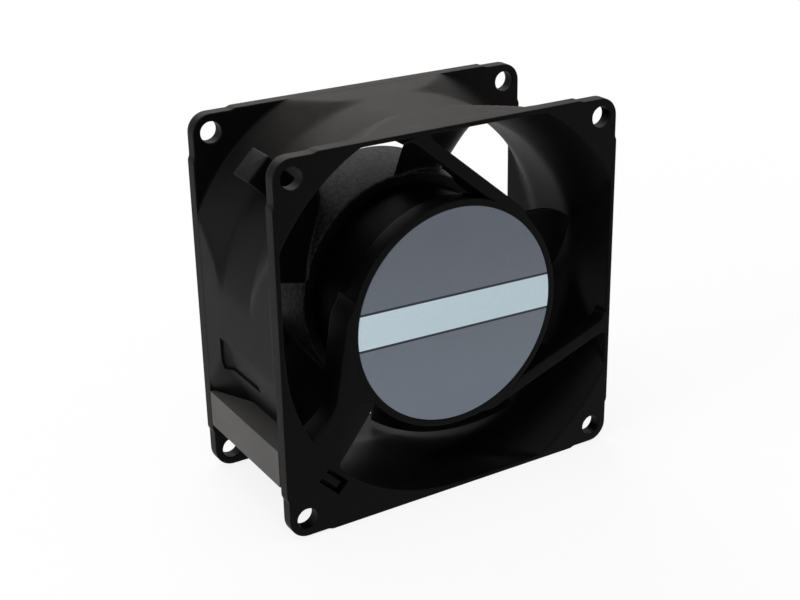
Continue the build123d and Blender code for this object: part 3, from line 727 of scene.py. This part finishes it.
# The earth post: its direction in degrees, its middle from the fan's middle and its foot's distance
POST_ANGLE, POST_MIDDLE, POST_FOOT = 135.0, 1.3, 39.3
# Length over which an ear steps back from the flat
EAR_EASE = 1.6
# The chamfer at both faces of a flange's holes
HOLE_CHAMFER = 0.2
# The slot's turn in degrees, its middle and its depth
SLOT_TURN = -45.0
SLOT_PLACE = np.array([-29.6, -29.2])
SLOT_DEPTH = 2.5
# Half the slot's length, the inner and the outer side of its legs, and its base's width
SLOT_LENGTH, SLOT_INNER, SLOT_OUTER, SLOT_BASE = 3.0, 0.75, 1.65, 1.6
# The corners of the leads' way behind the web, its width and depths, and how far the first of
# its two runs goes past the corner
CHANNEL_RUNS = ((-10.3, -6.15), (-32.55, -22.0), (-38.5, -22.0))
CHANNEL_WIDTH = 1.5
CHANNEL_DEPTHS = (2.8, 6.6)
CHANNEL_PAST = 0.6
# The recess of the duct above the terminal block: its ends in degrees, its depths and its sink
RECESS_ENDS = (188.0, 198.0)
RECESS_DEPTHS = (13.0, 28.0)
RECESS_SINK = 0.5


def frame_angles(sizes):
    """Angles of the casting's sections: even steps, with five along the start of each ear,
    pairs close together at the ends of the closed quarter and of the recess, and nine over
    each corner arc."""
    even = np.arange(0.0, 360.0, 0.6)
    half = sizes.width / 2
    start = half - sizes.ear_length
    ear = np.degrees(np.arctan(np.linspace(start, start + EAR_EASE, 5) / half))
    arc = np.degrees(np.arctan((half - sizes.ear_setback - sizes.corner) / (half - sizes.ear_setback)))
    quarter = [*ear, *(90 - ear), *np.linspace(arc, 90 - arc, 9)]
    marks = [q + a for q in (0, 90, 180, 270) for a in quarter]
    marks += [179.98, 180.02, 269.98, 270.02]
    marks += [recess + side for recess in RECESS_ENDS for side in (-0.06, 0.06)]
    angles = np.unique(np.concatenate([even, marks]))
    keep = np.concatenate([[True], np.diff(angles) > 0.02])
    return np.radians(angles[keep])


def flange_reach(angle, sizes):
    """Distance of the flange's edge from the spindle: the flat, less the setback times a
    smooth rise at the start of an ear, over the greater of |cos| and |sin|, and on the
    corner arcs the farther root of the circle about the arc's centre."""
    c, s = np.abs(np.cos(angle)), np.abs(np.sin(angle))
    reach, other = np.maximum(c, s), np.minimum(c, s)
    half = sizes.width / 2
    back = (half - sizes.ear_setback) / reach
    along = half * other / reach
    eased = smooth_step(along, half - sizes.ear_length, half - sizes.ear_length + EAR_EASE)
    edge = (half - sizes.ear_setback * eased) / reach
    centre = half - sizes.ear_setback - sizes.corner
    inside = (centre * (c + s)) ** 2 - 2 * centre**2 + sizes.corner**2
    arc = centre * (c + s) + np.sqrt(np.maximum(inside, 0.0))
    return np.where(back * other > centre, arc, edge)


def mouth_reach(angle, sizes):
    """The four flats of a mouth: their distance over the greater of |cos| and |sin|."""
    return sizes.flat / np.maximum(np.abs(np.cos(angle)), np.abs(np.sin(angle)))


def passage(angle, from_face, sizes, plain):
    """Radius of the air passage at a depth from a face: the bore, or, nearer to the face than
    the flare's depth, mouth - (mouth - bore) t - bulge t (1 - t), cut off by the flats."""
    t = np.clip(from_face / sizes.flare, 0.0, 1.0)
    flared = sizes.mouth - (sizes.mouth - sizes.bore) * t - FLARE_BULGE * t * (1 - t)
    open_radius = smooth_min(flared, mouth_reach(angle, sizes), FLAT_BLEND)
    return np.where(plain, sizes.bore, np.maximum(open_radius, sizes.bore - 0.02))


def shell_reach(angle, from_flange, sizes, plain, limit):
    """Outside radius of the duct at a depth from a flange: a cone from the shoulder to the
    drum, kept inside the flange's edge."""
    t = np.clip(from_flange / (sizes.flare - sizes.flange), 0.0, 1.0)
    cone = sizes.shoulder - (sizes.shoulder - sizes.shell) * t
    cone = np.where(plain, sizes.shell, cone)
    return smooth_min(cone, limit - 0.01, CONE_BLEND)


def casting_sections(sizes):
    """The casting as one ring: at each angle a closed profile of radius and depth that goes
    out over the front face, round the front flange, back along the duct, round the rear
    flange and forward along the air passage."""
    angle = frame_angles(sizes)
    degrees = np.degrees(angle)
    closed = (degrees > 180.0) & (degrees < 270.0)
    column = angle[:, None]
    outer = flange_reach(angle, sizes)
    flat_limit = sizes.width / 2 / np.maximum(np.abs(np.cos(angle)), np.abs(np.sin(angle)))
    limit = np.minimum(flat_limit, outer)
    flange, edge, rear = sizes.flange, sizes.edge, DEPTH - sizes.flange
    # The front edge of the air passage, not rounded where the web and the struts run on
    lip = np.full(len(angle), edge)
    middle, half = WEB_JOIN
    lip *= 1 - smooth_step(-np.abs(degrees - middle), -half - 2.0, -half) * 0.95
    wide, fade = STRUT_JOIN
    for turn in STRUT_ANGLES:
        away = np.abs((degrees - strut_end_angle(turn, sizes) + 180.0) % 360.0 - 180.0)
        lip *= 1 - smooth_step(-away, -wide - fade, -wide) * 0.95

    # Where the duct meets the flanges, and the roundings there
    open_back = np.zeros(len(angle), bool)
    plain_front = shell_reach(angle, 0.0, sizes, closed, limit)
    plain_rear = shell_reach(angle, 0.0, sizes, open_back, limit)
    trim_front, trim_rear = (np.clip((outer - plain) * 0.4, 0.0, edge) for plain in (plain_front, plain_rear))
    fillet_front = np.clip((outer - trim_front - plain_front) * 0.8, 0.0, sizes.fillet)
    fillet_rear = np.clip((outer - trim_rear - plain_rear) * 0.8, 0.0, sizes.fillet)
    after = shell_reach(angle, fillet_front, sizes, closed, limit)
    before = shell_reach(angle, fillet_rear, sizes, open_back, limit)

    # The duct between the flanges, with its recess
    t = np.linspace(0.0, 1.0, 30, endpoint=False)[None, :]
    start, end = (flange + fillet_front)[:, None], (rear - fillet_rear)[:, None]
    marks = np.add.outer(RECESS_DEPTHS, (-0.05, 0.05)).ravel()
    depth = np.concatenate([start + (end - start) * t, np.broadcast_to(marks, (len(angle), 4))], 1)
    depth = np.sort(depth, 1)
    forward = shell_reach(column, depth - flange, sizes, closed[:, None], limit[:, None])
    backward = shell_reach(column, rear - depth, sizes, False, limit[:, None])
    sunk = (degrees > RECESS_ENDS[0]) & (degrees < RECESS_ENDS[1])
    deep = (depth > RECESS_DEPTHS[0]) & (depth < RECESS_DEPTHS[1])
    wall = np.maximum(forward, backward) - RECESS_SINK * (sunk[:, None] & deep)
    duct = np.stack([wall, depth], -1)

    # The air passage from the rear face to the front face
    s = np.linspace(0.0, 1.0, 30, endpoint=False)
    t = (0.5 - 0.5 * np.cos(np.pi * s)) * 0.35 + s * 0.65
    depth = DEPTH - edge - (DEPTH - edge - lip[:, None]) * t[None, :]
    ahead = passage(column, depth, sizes, closed[:, None])
    behind = passage(column, DEPTH - depth, sizes, False)
    tunnel = np.stack([np.maximum(ahead, behind), depth], -1)
    front_open, rear_open = passage(angle, 0.0, sizes, closed), passage(angle, 0.0, sizes, open_back)
    inner_front, inner_rear = passage(angle, lip, sizes, closed), passage(angle, edge, sizes, open_back)

    fillet_ends = (plain_front + fillet_front, flange), (plain_rear + fillet_rear, rear)
    sections = [
        run((front_open + lip, 0.0), (outer - edge, 0.0), 5),
        bend((outer - edge, 0.0), (outer, 0.0), (outer, edge), 4),
        run((outer, edge), (outer, flange - trim_front), 2),
        bend((outer, flange - trim_front), (outer, flange), (outer - trim_front, flange), 4),
        run((outer - trim_front, flange), fillet_ends[0], 6),
        bend(fillet_ends[0], (plain_front, flange), (after, flange + fillet_front), 4),
        duct,
        bend((before, rear - fillet_rear), (plain_rear, rear), fillet_ends[1], 4),
        run(fillet_ends[1], (outer - trim_rear, rear), 6),
        bend((outer - trim_rear, rear), (outer, rear), (outer, rear + trim_rear), 4),
        run((outer, rear + trim_rear), (outer, DEPTH - edge), 2),
        bend((outer, DEPTH - edge), (outer, DEPTH), (outer - edge, DEPTH), 4),
        run((outer - edge, DEPTH), (rear_open + edge, DEPTH), 5),
        bend((rear_open + edge, DEPTH), (rear_open, DEPTH), (inner_rear, DEPTH - edge), 4),
        tunnel,
        bend((inner_front, lip), (front_open, 0.0), (front_open + lip, 0.0), 4),
    ]
    sections = np.concatenate(sections, 1)
    return ring_place(column, sections[..., 0], sections[..., 1])


def strut_end(turn, across, sizes):
    """How far along its own direction a strut's edge runs to the wall of the front opening:
    the nearer of the mouth circle's root and of the flats."""
    a = radians(turn)
    away, along = np.array([cos(a), sin(a)]), np.array([-sin(a), cos(a)])
    to_circle = np.sqrt(sizes.mouth**2 - across**2)
    start = across * away
    flats = [(side * sizes.flat - start[i]) / along[i] for i in (0, 1) for side in (1, -1)]
    return min([to_circle] + [value for value in flats if value > 0])


def strut_end_angle(turn, sizes):
    """Angle round the spindle at which a strut meets the wall, in degrees from 0 to 360."""
    across = STRUT_LINE
    reach = strut_end(turn, across, sizes)
    a = radians(turn)
    x, z = across * cos(a) - reach * sin(a), across * sin(a) + reach * cos(a)
    return float(np.degrees(np.arctan2(z, x)) % 360.0)


def strut(turn, sizes, spider):
    """A bar with a rounded section that leaves the plate tangentially. Along it t runs from
    behind the plate's edge to just inside the wall; each side swells at the wall by
    R - sqrt(R squared - u squared), u the distance into the last R of the run, and no point
    goes more than STRUT_SINK beyond the wall. Near the plate both sides draw in and the back
    goes deeper and stands out towards the hub, each by a smooth rise."""
    outer, inner = spider.strut_edge, spider.strut_edge - spider.strut_width
    low, high = STRUT_FRONT, spider.strut_depth
    flat = softened([(inner, low), (outer, low), (outer, high), (inner, high)], (0.35, 0.35, 0.5, 0.5), 6)
    across = flat[None, :, 0]
    ends = np.array([strut_end(turn, value, sizes) for value in flat[:, 0]])[None, :] + STRUT_SINK
    t = 1 - (1 - np.linspace(0.0, 1.0, 60)[:, None]) ** 1.6
    along = -STRUT_TAIL + (ends + STRUT_TAIL) * t
    into = np.clip(along - (ends - STRUT_SINK - STRUT_SWELL), 0.0, STRUT_SWELL * 0.97)
    bulge = STRUT_SWELL - np.sqrt(STRUT_SWELL**2 - into**2)
    side = (across - (outer + inner) / 2) / (spider.strut_width / 2)
    begin, finish, amount = STRUT_INNER_TAPER
    inward = smooth_step(along, begin, finish) * amount * (1 - side) / 2
    begin, finish, amount = STRUT_OUTER_TAPER
    outward = smooth_step(along, begin, finish) * amount * (1 + side) / 2
    across = across + side * bulge * 0.9 + inward - outward
    near, far = STRUT_HEEL
    deeper = STRUT_HEEL_DEPTH * (1 - smooth_step(along, near, far))
    back = flat[None, :, 1] > high / 2
    near, far = STRUT_HEEL_STRETCH
    spread = STRUT_HEEL_SIDE * (1 - smooth_step(along, near, far)) * (1 - side) / 2
    across = across - spread * back
    depth = flat[None, :, 1] + deeper * back
    a = radians(turn)
    x = across * cos(a) - along * sin(a)
    z = across * sin(a) + along * cos(a)
    radius, angle = np.hypot(x, z), np.arctan2(z, x)
    open_wall = np.minimum(sizes.mouth, mouth_reach(angle, sizes))
    wall = np.where((x < 0) & (z < 0), sizes.bore, open_wall) + STRUT_SINK
    return island(capped(ring_place(angle, np.minimum(radius, wall), depth)), False, True)


def web_outline():
    """Outline of the wide web in the front view, from the flange to the plate's rim."""
    rim = np.radians(np.array([185.0, 191.0, 197.0, 203.0, 209.0, 215.0]))
    inner = [(24.0 * cos(a), 24.0 * sin(a)) for a in rim]
    corners = [(-35.2, -19.4), (-33.7, -18.3), (-28.8, -14.8), (-25.0, 0.0), *inner, (-20.3, -15.9)]
    corners += [(-28.0, -26.0), (-30.2, -26.8), (-34.6, -21.4)]
    radii = [0.2, 1.5, 2.5, 0.1] + [0.1] * 6 + [1.0, 1.5, 0.3, 0.3]
    return softened(corners, radii, 5)


# Rounding of a blade's tip
TIP_ROUND = 0.35
# Depth of a blade's front edge at the hub, and how much nearer to the front it comes evenly
# and at the tip, then the same for its angle in degrees
BLADE_FRONT_DEPTH = (20.1, 5.8, 3.6)
BLADE_FRONT_ANGLE = (94.5, 2.9, 3.6)
# Depth and angle of its rear edge, its camber, and how much thicker it is at its root
BLADE_REAR = (33.4, 51.0)
BLADE_CAMBER = (0.231, 0.5)
BLADE_ROOT = 0.9


def blade(turn, sizes):
    """One blade: at each radius a closed section, worked out on the unrolled cylinder. The
    mean line goes from the front edge to the rear edge with a camber of s (1 - s) (first +
    second s) of the chord, and the thickness follows sine to the 0.4, s = (1 - cos p) / 2. It
    shrinks to that line at the tip, which closes it. The front edge moves by u, from 0 at the
    hub to 1 at the tip, and by a high power of u near the tip."""
    inner, outer = sizes.hub - 0.5, sizes.tip
    t = np.linspace(0.0, 1.0, 44)
    body = inner + (outer - TIP_ROUND - inner) * (t * 0.6 + (0.5 - 0.5 * np.cos(np.pi * t)) * 0.4)
    turn_in = np.linspace(0.0, np.pi / 2, 6)[1:]
    tip = outer - TIP_ROUND * (1 - np.sin(turn_in))
    rho = np.concatenate([body, tip])[:, None]
    shrink = np.concatenate([np.ones(len(body)), np.cos(turn_in)])[:, None]
    u = np.clip((rho - sizes.hub) / (outer - sizes.hub), -0.05, 1.0)
    begin, even, curl = BLADE_FRONT_DEPTH
    front_depth = begin - even * u - curl * np.abs(u) ** 6
    begin, even, curl = BLADE_FRONT_ANGLE
    front_angle = np.radians(begin - even * u - curl * np.abs(u) ** 10)
    rear_depth, rear_angle = BLADE_REAR[0], radians(BLADE_REAR[1])
    first, second = BLADE_CAMBER
    p = np.linspace(0.0, 2 * np.pi, 72, endpoint=False)[None, :]
    s = 0.5 - 0.5 * np.cos(p)
    chord_d = rear_depth - front_depth
    chord_a = rho * (rear_angle - front_angle)
    chord = np.hypot(chord_d, chord_a)
    root = np.exp(-(rho - sizes.hub) / 0.45) * BLADE_ROOT
    thick = sizes.root_thickness + (sizes.tip_thickness - sizes.root_thickness) * u + root
    half = 0.5 * thick * np.abs(np.sin(p)) ** 0.4 * np.sign(np.sin(p)) * shrink
    lift = chord * s * (1 - s) * (first + second * s) + half
    depth = front_depth + chord_d * s + lift * chord_a / chord
    arc = rho * front_angle + chord_a * s - lift * chord_d / chord
    angle = arc / rho + radians(turn)
    places = ring_place(angle, np.broadcast_to(rho, angle.shape), depth)
    return island(capped(places, False), False, True)


# Operators


def cast_piece(name, islands, paint, sharp=40.0):
    """A piece of the painted casting."""
    return piece(name, islands, paint, "frame", ["housing"], sharp)


class FAN_OT_casting(bpy.types.Operator):
    """Builds the cast frame as one ring, drills its corner holes and cuts its slot"""

    bl_idname = "fan.casting"
    bl_label = "Casting"

    def execute(self, context):
        sizes = Sizes(context.scene.fan_frame)
        paint = casting_paint(context.scene.fan_colours)
        ring = island(casting_sections(sizes), True, True)
        made = cast_piece("frame_casting", [ring], paint)
        half, rim, out = sizes.hole / 2, HOLE_CHAMFER, 1.0
        ahead = [(0.0, -out), (half + rim + out, -out)]
        ahead += [(half, rim), (half, FLANGE - rim), (half + rim, FLANGE)]
        behind = [(radius, DEPTH - depth) for radius, depth in reversed(ahead)]
        drill, quads = turned(np.array(ahead + behind), 48, False)
        corners = np.array([(x, 0.0, z) for x in (-0.5, 0.5) for z in (-0.5, 0.5)]) * sizes.hole_spacing
        cutters = [(drill + corner, quads) for corner in corners]
        carve(made, [*cutters, *slot_bars(), *lead_channel()], 38.0)
        weigh(made)
        return {"FINISHED"}


def slot_bars():
    """The slot round the spring tongue: two legs and the base that joins them, as bars turned
    with the slot."""
    a = radians(SLOT_TURN)
    turn = np.array([[cos(a), sin(a)], [-sin(a), cos(a)]])
    long, leg, wide = SLOT_LENGTH, SLOT_INNER, SLOT_OUTER
    legs = [((-long, long), (leg, wide)), ((-long, long), (-wide, -leg))]
    legs.append(((long - SLOT_BASE, long), (-wide, wide)))
    bars = []
    for (left, right), (low, high) in legs:
        corners = np.array([(left, low), (right, low), (right, high), (left, high)])
        bars.append(slab(corners @ turn + SLOT_PLACE, -1.0, SLOT_DEPTH, 0.05, face_place))
    return bars


def lead_channel():
    """The channel of the leads behind the web: two bars, of which the first runs on
    past the corner."""
    runs = np.array(CHANNEL_RUNS)
    bars = []
    for start, end, past in ((runs[0], runs[1], CHANNEL_PAST), (runs[1], runs[2], 0.0)):
        way = (end - start) / np.linalg.norm(end - start)
        side = np.array([-way[1], way[0]]) * CHANNEL_WIDTH / 2
        end = end + way * past
        corners = np.array([start - side, end - side, end + side, start + side])
        bars.append(slab(corners, *CHANNEL_DEPTHS, 0.02, face_place))
    return bars


class FAN_OT_spider(bpy.types.Operator):
    """Builds the plate with its rim and boss, the three struts, the web and the earth post"""

    bl_idname = "fan.spider"
    bl_label = "Spider"

    def execute(self, context):
        sizes, spider = Sizes(context.scene.fan_frame), Sizes(context.scene.fan_spider)
        paint = bpy.data.materials.get("casting_paint")
        if paint is None:
            raise RuntimeError("build the casting first")
        plate, seat, sink = spider.plate, spider.seat, spider.seat_depth
        rim, rim_depth, back = PLATE_RIM
        inner, outer, boss_depth = PLATE_BOSS
        corners = [(0.0, sink), (seat, sink), (seat, 0.0), (plate, 0.0), (plate, rim_depth), (rim, rim_depth)]
        corners += [(rim, back), (outer, back), (outer, boss_depth), (inner, boss_depth)]
        corners += [(inner, back), (0.0, back)]
        rounding = (0.0, 0.05, 0.18, 0.35, 0.35, 0.3, 0.5, 0.6, 0.3, 0.2, 0.05, 0.0)
        outline = softened(corners, rounding, 5, False)
        cast_piece("plate", [turned(outline, 192, False)], paint, 30.0)
        bars = [strut(turn, sizes, spider) for turn in STRUT_ANGLES]
        cast_piece("struts", bars, paint, 50.0)
        shape = slab(web_outline(), WEB_FRONT, spider.web_depth, 0.4, face_place)
        web = cast_piece("lead_web", [shape], paint, 35.0)
        carve(web, lead_channel(), 35.0)
        outward, around = radians(POST_ANGLE), spider.post_width / 2
        long = spider.post_length / 2
        low, high = POST_MIDDLE - around, POST_MIDDLE + around
        corners = softened([(-long, low), (long, low), (long, high), (-long, high)], 0.45, 5)

        def post_place(points, height):
            """Points across the post at one distance from the spindle."""
            x = height * cos(outward) - points[:, 1] * sin(outward)
            z = height * sin(outward) + points[:, 1] * cos(outward)
            return np.stack([x, points[:, 0], z], -1)

        post = [slab(corners, POST_FOOT, spider.post_height, 0.4, post_place)]
        cast_piece("earth_post", post, paint, 30.0)
        return {"FINISHED"}


class FAN_OT_nameplate(bpy.types.Operator):
    """Builds the blank foil nameplate with its stripe"""

    bl_idname = "fan.nameplate"
    bl_label = "Nameplate"

    def execute(self, context):
        sizes = Sizes(context.scene.fan_nameplate)
        foil = nameplate_foil(context.scene.fan_colours, sizes)
        rear = Sizes(context.scene.fan_spider).seat_depth
        front = rear - sizes.thickness
        corners = [(0.0, front), (sizes.radius, front), (sizes.radius, rear), (0.0, rear)]
        outline = softened(corners, (0.0, 0.09, 0.02, 0.0), 5, False)
        disc = turned(outline, 192, False)
        piece("nameplate_foil", [disc], foil, "frame", ["nameplate"], 30.0)
        return {"FINISHED"}


class FAN_OT_impeller(bpy.types.Operator):
    """Builds the hub with its rear lip and the curved blades"""

    bl_idname = "fan.impeller"
    bl_label = "Impeller"

    def execute(self, context):
        group = context.scene.fan_impeller
        sizes = Sizes(group)
        plastic = impeller_plastic(context.scene.fan_colours, sizes)
        lip_front = sizes.hub_rear - 1.2
        corners = [
            (sizes.hub_bore, sizes.hub_front),
            (sizes.hub, sizes.hub_front),
            (sizes.hub_foot, sizes.hub_rear),
            (sizes.lip, sizes.hub_rear),
            (sizes.lip, lip_front),
            (sizes.hub_bore, lip_front),
        ]
        hub = turned(softened(corners, (0.2, 0.4, 1.1, 0.3, 0.2, 0.05), 7), 240, True)
        blades = [blade(360.0 / group.blades * number, sizes) for number in range(group.blades)]
        piece("impeller_moulding", [hub, *blades], plastic, "rotor", ["impeller"], 45.0)
        return {"FINISHED"}


class FAN_OT_terminals(bpy.types.Operator):
    """Rounds the edges of the terminal block and finishes it, its tabs and the leads"""

    bl_idname = "fan.terminals"
    bl_label = "Terminals"

    def execute(self, context):
        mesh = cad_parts["terminal_block"].data.copy()
        mesh.name = "terminal_moulding"
        merge(mesh, 0.5)
        made = bpy.data.objects.new("terminal_moulding", mesh)
        bpy.context.scene.collection.objects.link(made)
        mesh.materials.clear()
        mesh.materials.append(block_plastic(context.scene.fan_colours))
        settle(made, 30.0)
        rounding = made.modifiers.new("Edge Rounding", "BEVEL")
        rounding.width = BLOCK_ROUNDING * MM
        rounding.segments = 3
        rounding.limit_method = "ANGLE"
        rounding.angle_limit = radians(40.0)
        rounding.harden_normals = True
        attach(made, "frame")
        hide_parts("terminal_block")
        tin = sheet_metal("tinned_tab", (0.72, 0.7, 0.64), 0.28, (6.0, 6.0, 0.4))
        sleeve = moulded("lead_sleeve", (0.02, 0.02, 0.022))
        for side in ("live", "neutral"):
            dress(f"{side}_tab", tin)
            dress(f"{side}_lead", sleeve)
        return {"FINISHED"}


class FAN_OT_motor(bpy.types.Operator):
    """Finishes the rotor cup, bush, shaft, stator, coils and rings"""

    bl_idname = "fan.motor"
    bl_label = "Motor"

    def execute(self, context):
        colours = context.scene.fan_colours
        bush = turned_metal("bush_metal", (0.66, 0.67, 0.68), 0.32)
        bearing = turned_metal("ground_steel", (0.62, 0.62, 0.63), 0.14, 18000.0, 0.03)
        spring = sheet_metal("spring_strip", (0.35, 0.35, 0.36), 0.3, (1.0, 3.0, 1.0))
        brass = turned_metal("tube_brass", (0.78, 0.6, 0.28), 0.26)
        balls = turned_metal("ball_polish", (0.8, 0.8, 0.82), 0.05, 4000.0, 0.01)
        stack, wire = laminations(), winding(colours)
        cream = moulded("insulator_plastic", tuple(colours.insulator))
        bar = sheet_metal("copper_bar", (0.8, 0.42, 0.24), 0.3, (1.0, 0.3, 1.0))
        cage = turned_metal("cast_aluminium", (0.7, 0.71, 0.72), 0.36)
        ends = ("front", "rear")
        ground = [f"{end}_bearing_{part}" for end in ends for part in ("outer_ring", "inner_ring", "shields")]
        cages = [f"{end}_bearing_cage" for end in ends]
        for material, slot, nodes in (
            (coated_cup(colours), "cup_steel", ["rotor_cup"]),
            (bush, "bush_aluminium", ["rotor_bush"]),
            (bearing, "bearing_steel", ["shaft", *ground]),
            (spring, "spring_steel", ["shaft_clip", "preload_spring", *cages]),
            (brass, "tube_brass", ["bearing_tube"]),
            (balls, "ball_steel", [f"{end}_bearing_balls" for end in ends]),
            (stack, "electrical_steel", ["stator_core", "rotor_laminations"]),
            (cream, "insulator_plastic", [f"{end}_insulator" for end in ends]),
            (wire, "copper_wire", [f"coil_{number}" for number in range(1, 5)]),
            (bar, "copper_bar", ["shading_rings"]),
            (cage, "cage_aluminium", ["rotor_cage"]),
        ):
            for node in nodes:
                dress(node, material)
        return {"FINISHED"}


# The rays that see the floor and the room as plain white
SEEN_RAYS = ("Camera", "Glossy", "Transmission")
# Each lamp's name, place in metres, size and power
LAMPS = (
    ("top_light", (-0.2, -0.15, 1.0), 0.8, 3.0),
    ("left_light", (-1.05, -0.05, 0.3), 0.5, 6.0),
    ("rear_light", (0.25, 0.9, 0.7), 0.8, 4.5),
)
# The camera's place in metres and the shift of its picture
CAMERA_PLACE = (-0.14802, -0.24449, 0.11902)
CAMERA_SHIFT = (-0.0616, -0.0395)
WHITE = (1.0, 1.0, 1.0, 1.0)


def seen(tree):
    """1 where one of those rays looks, else 0."""
    path = tree.nodes.new("ShaderNodeLightPath")
    rays = [Signal(tree, path.outputs[f"Is {ray} Ray"]) for ray in SEEN_RAYS]
    return rays[0].larger(rays[1]).larger(rays[2])


class FAN_OT_stage(bpy.types.Operator):
    """Sets the floor, the soft studio light and the camera"""

    bl_idname = "fan.stage"
    bl_label = "Stage"

    def execute(self, context):
        scene, stage = context.scene, context.scene.fan_stage
        scene.view_settings.view_transform = "Standard"
        self.floor(stage)
        self.light(scene)
        self.camera(scene, stage)
        return {"FINISHED"}

    def floor(self, stage):
        """A disc under the flanges: rings of growing radius, closed at a pole."""
        under = -40.0
        radius = np.concatenate([[0.0], np.geomspace(20.0, stage.floor / MM, 40)])
        angle = np.linspace(0.0, 2 * np.pi, 64, endpoint=False)[:, None]
        x, y = radius * np.cos(angle), radius * np.sin(angle)
        grid = np.stack([x, y, np.full(x.shape, under)], -1)
        finish = Finish("floor_card", Roughness=0.9, Specular_IOR_Level=0.0)
        paper = finish.noise(300.0, 3.0)
        finish.feed(Base_Color=finish.mix(paper, (0.93, 0.93, 0.93, 1.0), (0.96, 0.96, 0.96, 1.0)))
        far = ((finish.x * finish.x + finish.y * finish.y) ** 0.5).step(0.05, 0.4) * 0.15 + 0.85
        glow = finish.node("ShaderNodeEmission", None, {"Color": WHITE, "Strength": 1.0})
        card = Signal(finish.tree, finish.shader.outputs[0])
        both = finish.node("ShaderNodeMixShader", None, {0: far * seen(finish.tree), 1: card, 2: glow})
        finish.tree.links.new(both.socket, finish.tree.nodes["Material Output"].inputs["Surface"])
        made = piece("floor", [island(grid, True, False)], finish.material, None)
        if made.data.polygons[0].normal.z < 0:
            made.data.flip_normals()

    def light(self, scene):
        """A soft lamp above, one at the left and one behind on the right, and an even room."""
        for name, place, size, power in LAMPS:
            data = bpy.data.lights.new(name, "AREA")
            data.shape, data.size, data.energy = "SQUARE", size, power
            lamp = bpy.data.objects.new(name, data)
            lamp.location = place
            lamp.rotation_euler = (-Vector(place)).to_track_quat("-Z", "Y").to_euler()
            scene.collection.objects.link(lamp)
        world = bpy.data.worlds.new("room")
        scene.world = world
        world.use_nodes = True
        tree = world.node_tree
        room = tree.nodes["Background"]
        room.inputs["Color"].default_value = WHITE
        tree.links.new((seen(tree) * 0.5 + 0.5).socket, room.inputs["Strength"])

    def camera(self, scene, stage):
        """The camera of the photograph."""
        data = bpy.data.cameras.new("camera")
        data.lens, data.sensor_width, data.sensor_fit = stage.lens, 36.0, "HORIZONTAL"
        data.shift_x, data.shift_y = CAMERA_SHIFT
        data.clip_start, data.clip_end = 0.01, 20.0
        a, e, roll = stage.azimuth, stage.elevation, stage.roll
        back = Vector((sin(a) * cos(e), -cos(a) * cos(e), sin(e)))
        right = (-back).cross(Vector((0, 0, 1))).normalized()
        up = right.cross(-back).normalized()
        across, high = right * cos(roll) + up * sin(roll), up * cos(roll) - right * sin(roll)
        made = bpy.data.objects.new("camera", data)
        turn = Matrix((across, high, back)).transposed().to_4x4()
        made.matrix_world = Matrix.Translation(CAMERA_PLACE) @ turn
        scene.collection.objects.link(made)
        scene.camera = made


class FAN_PT_pieces(bpy.types.Panel):
    """The fan's pieces in the sidebar"""

    bl_idname = "FAN_PT_pieces"
    bl_label = "Square Axial Fan"
    bl_space_type = "VIEW_3D"
    bl_region_type = "UI"
    bl_category = "Fan"

    def draw(self, context):
        for operator in OPERATORS:
            self.layout.operator(operator.bl_idname)
        for group in GROUPS:
            box = self.layout.box()
            settings = getattr(context.scene, group)
            for name in settings.bl_rna.properties.keys():
                if name not in ("rna_type", "name"):
                    box.prop(settings, name)


OPERATORS = (
    FAN_OT_casting,
    FAN_OT_spider,
    FAN_OT_nameplate,
    FAN_OT_impeller,
    FAN_OT_terminals,
    FAN_OT_motor,
    FAN_OT_stage,
)


def register():
    for kind in (*GROUPS.values(), *OPERATORS, FAN_PT_pieces):
        bpy.utils.register_class(kind)
    for name, kind in GROUPS.items():
        setattr(bpy.types.Scene, name, bpy.props.PointerProperty(type=kind))


def unregister():
    for name in GROUPS:
        delattr(bpy.types.Scene, name)
    for kind in (FAN_PT_pieces, *reversed(OPERATORS), *GROUPS.values()):
        bpy.utils.unregister_class(kind)


def main():
    """Builds everything in order."""
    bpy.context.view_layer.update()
    register()
    bpy.ops.fan.casting()
    bpy.ops.fan.spider()
    bpy.ops.fan.nameplate()
    bpy.ops.fan.impeller()
    bpy.ops.fan.terminals()
    bpy.ops.fan.motor()
    bpy.ops.fan.stage()
    bpy.context.view_layer.update()


if __name__ == "__main__":
    main()
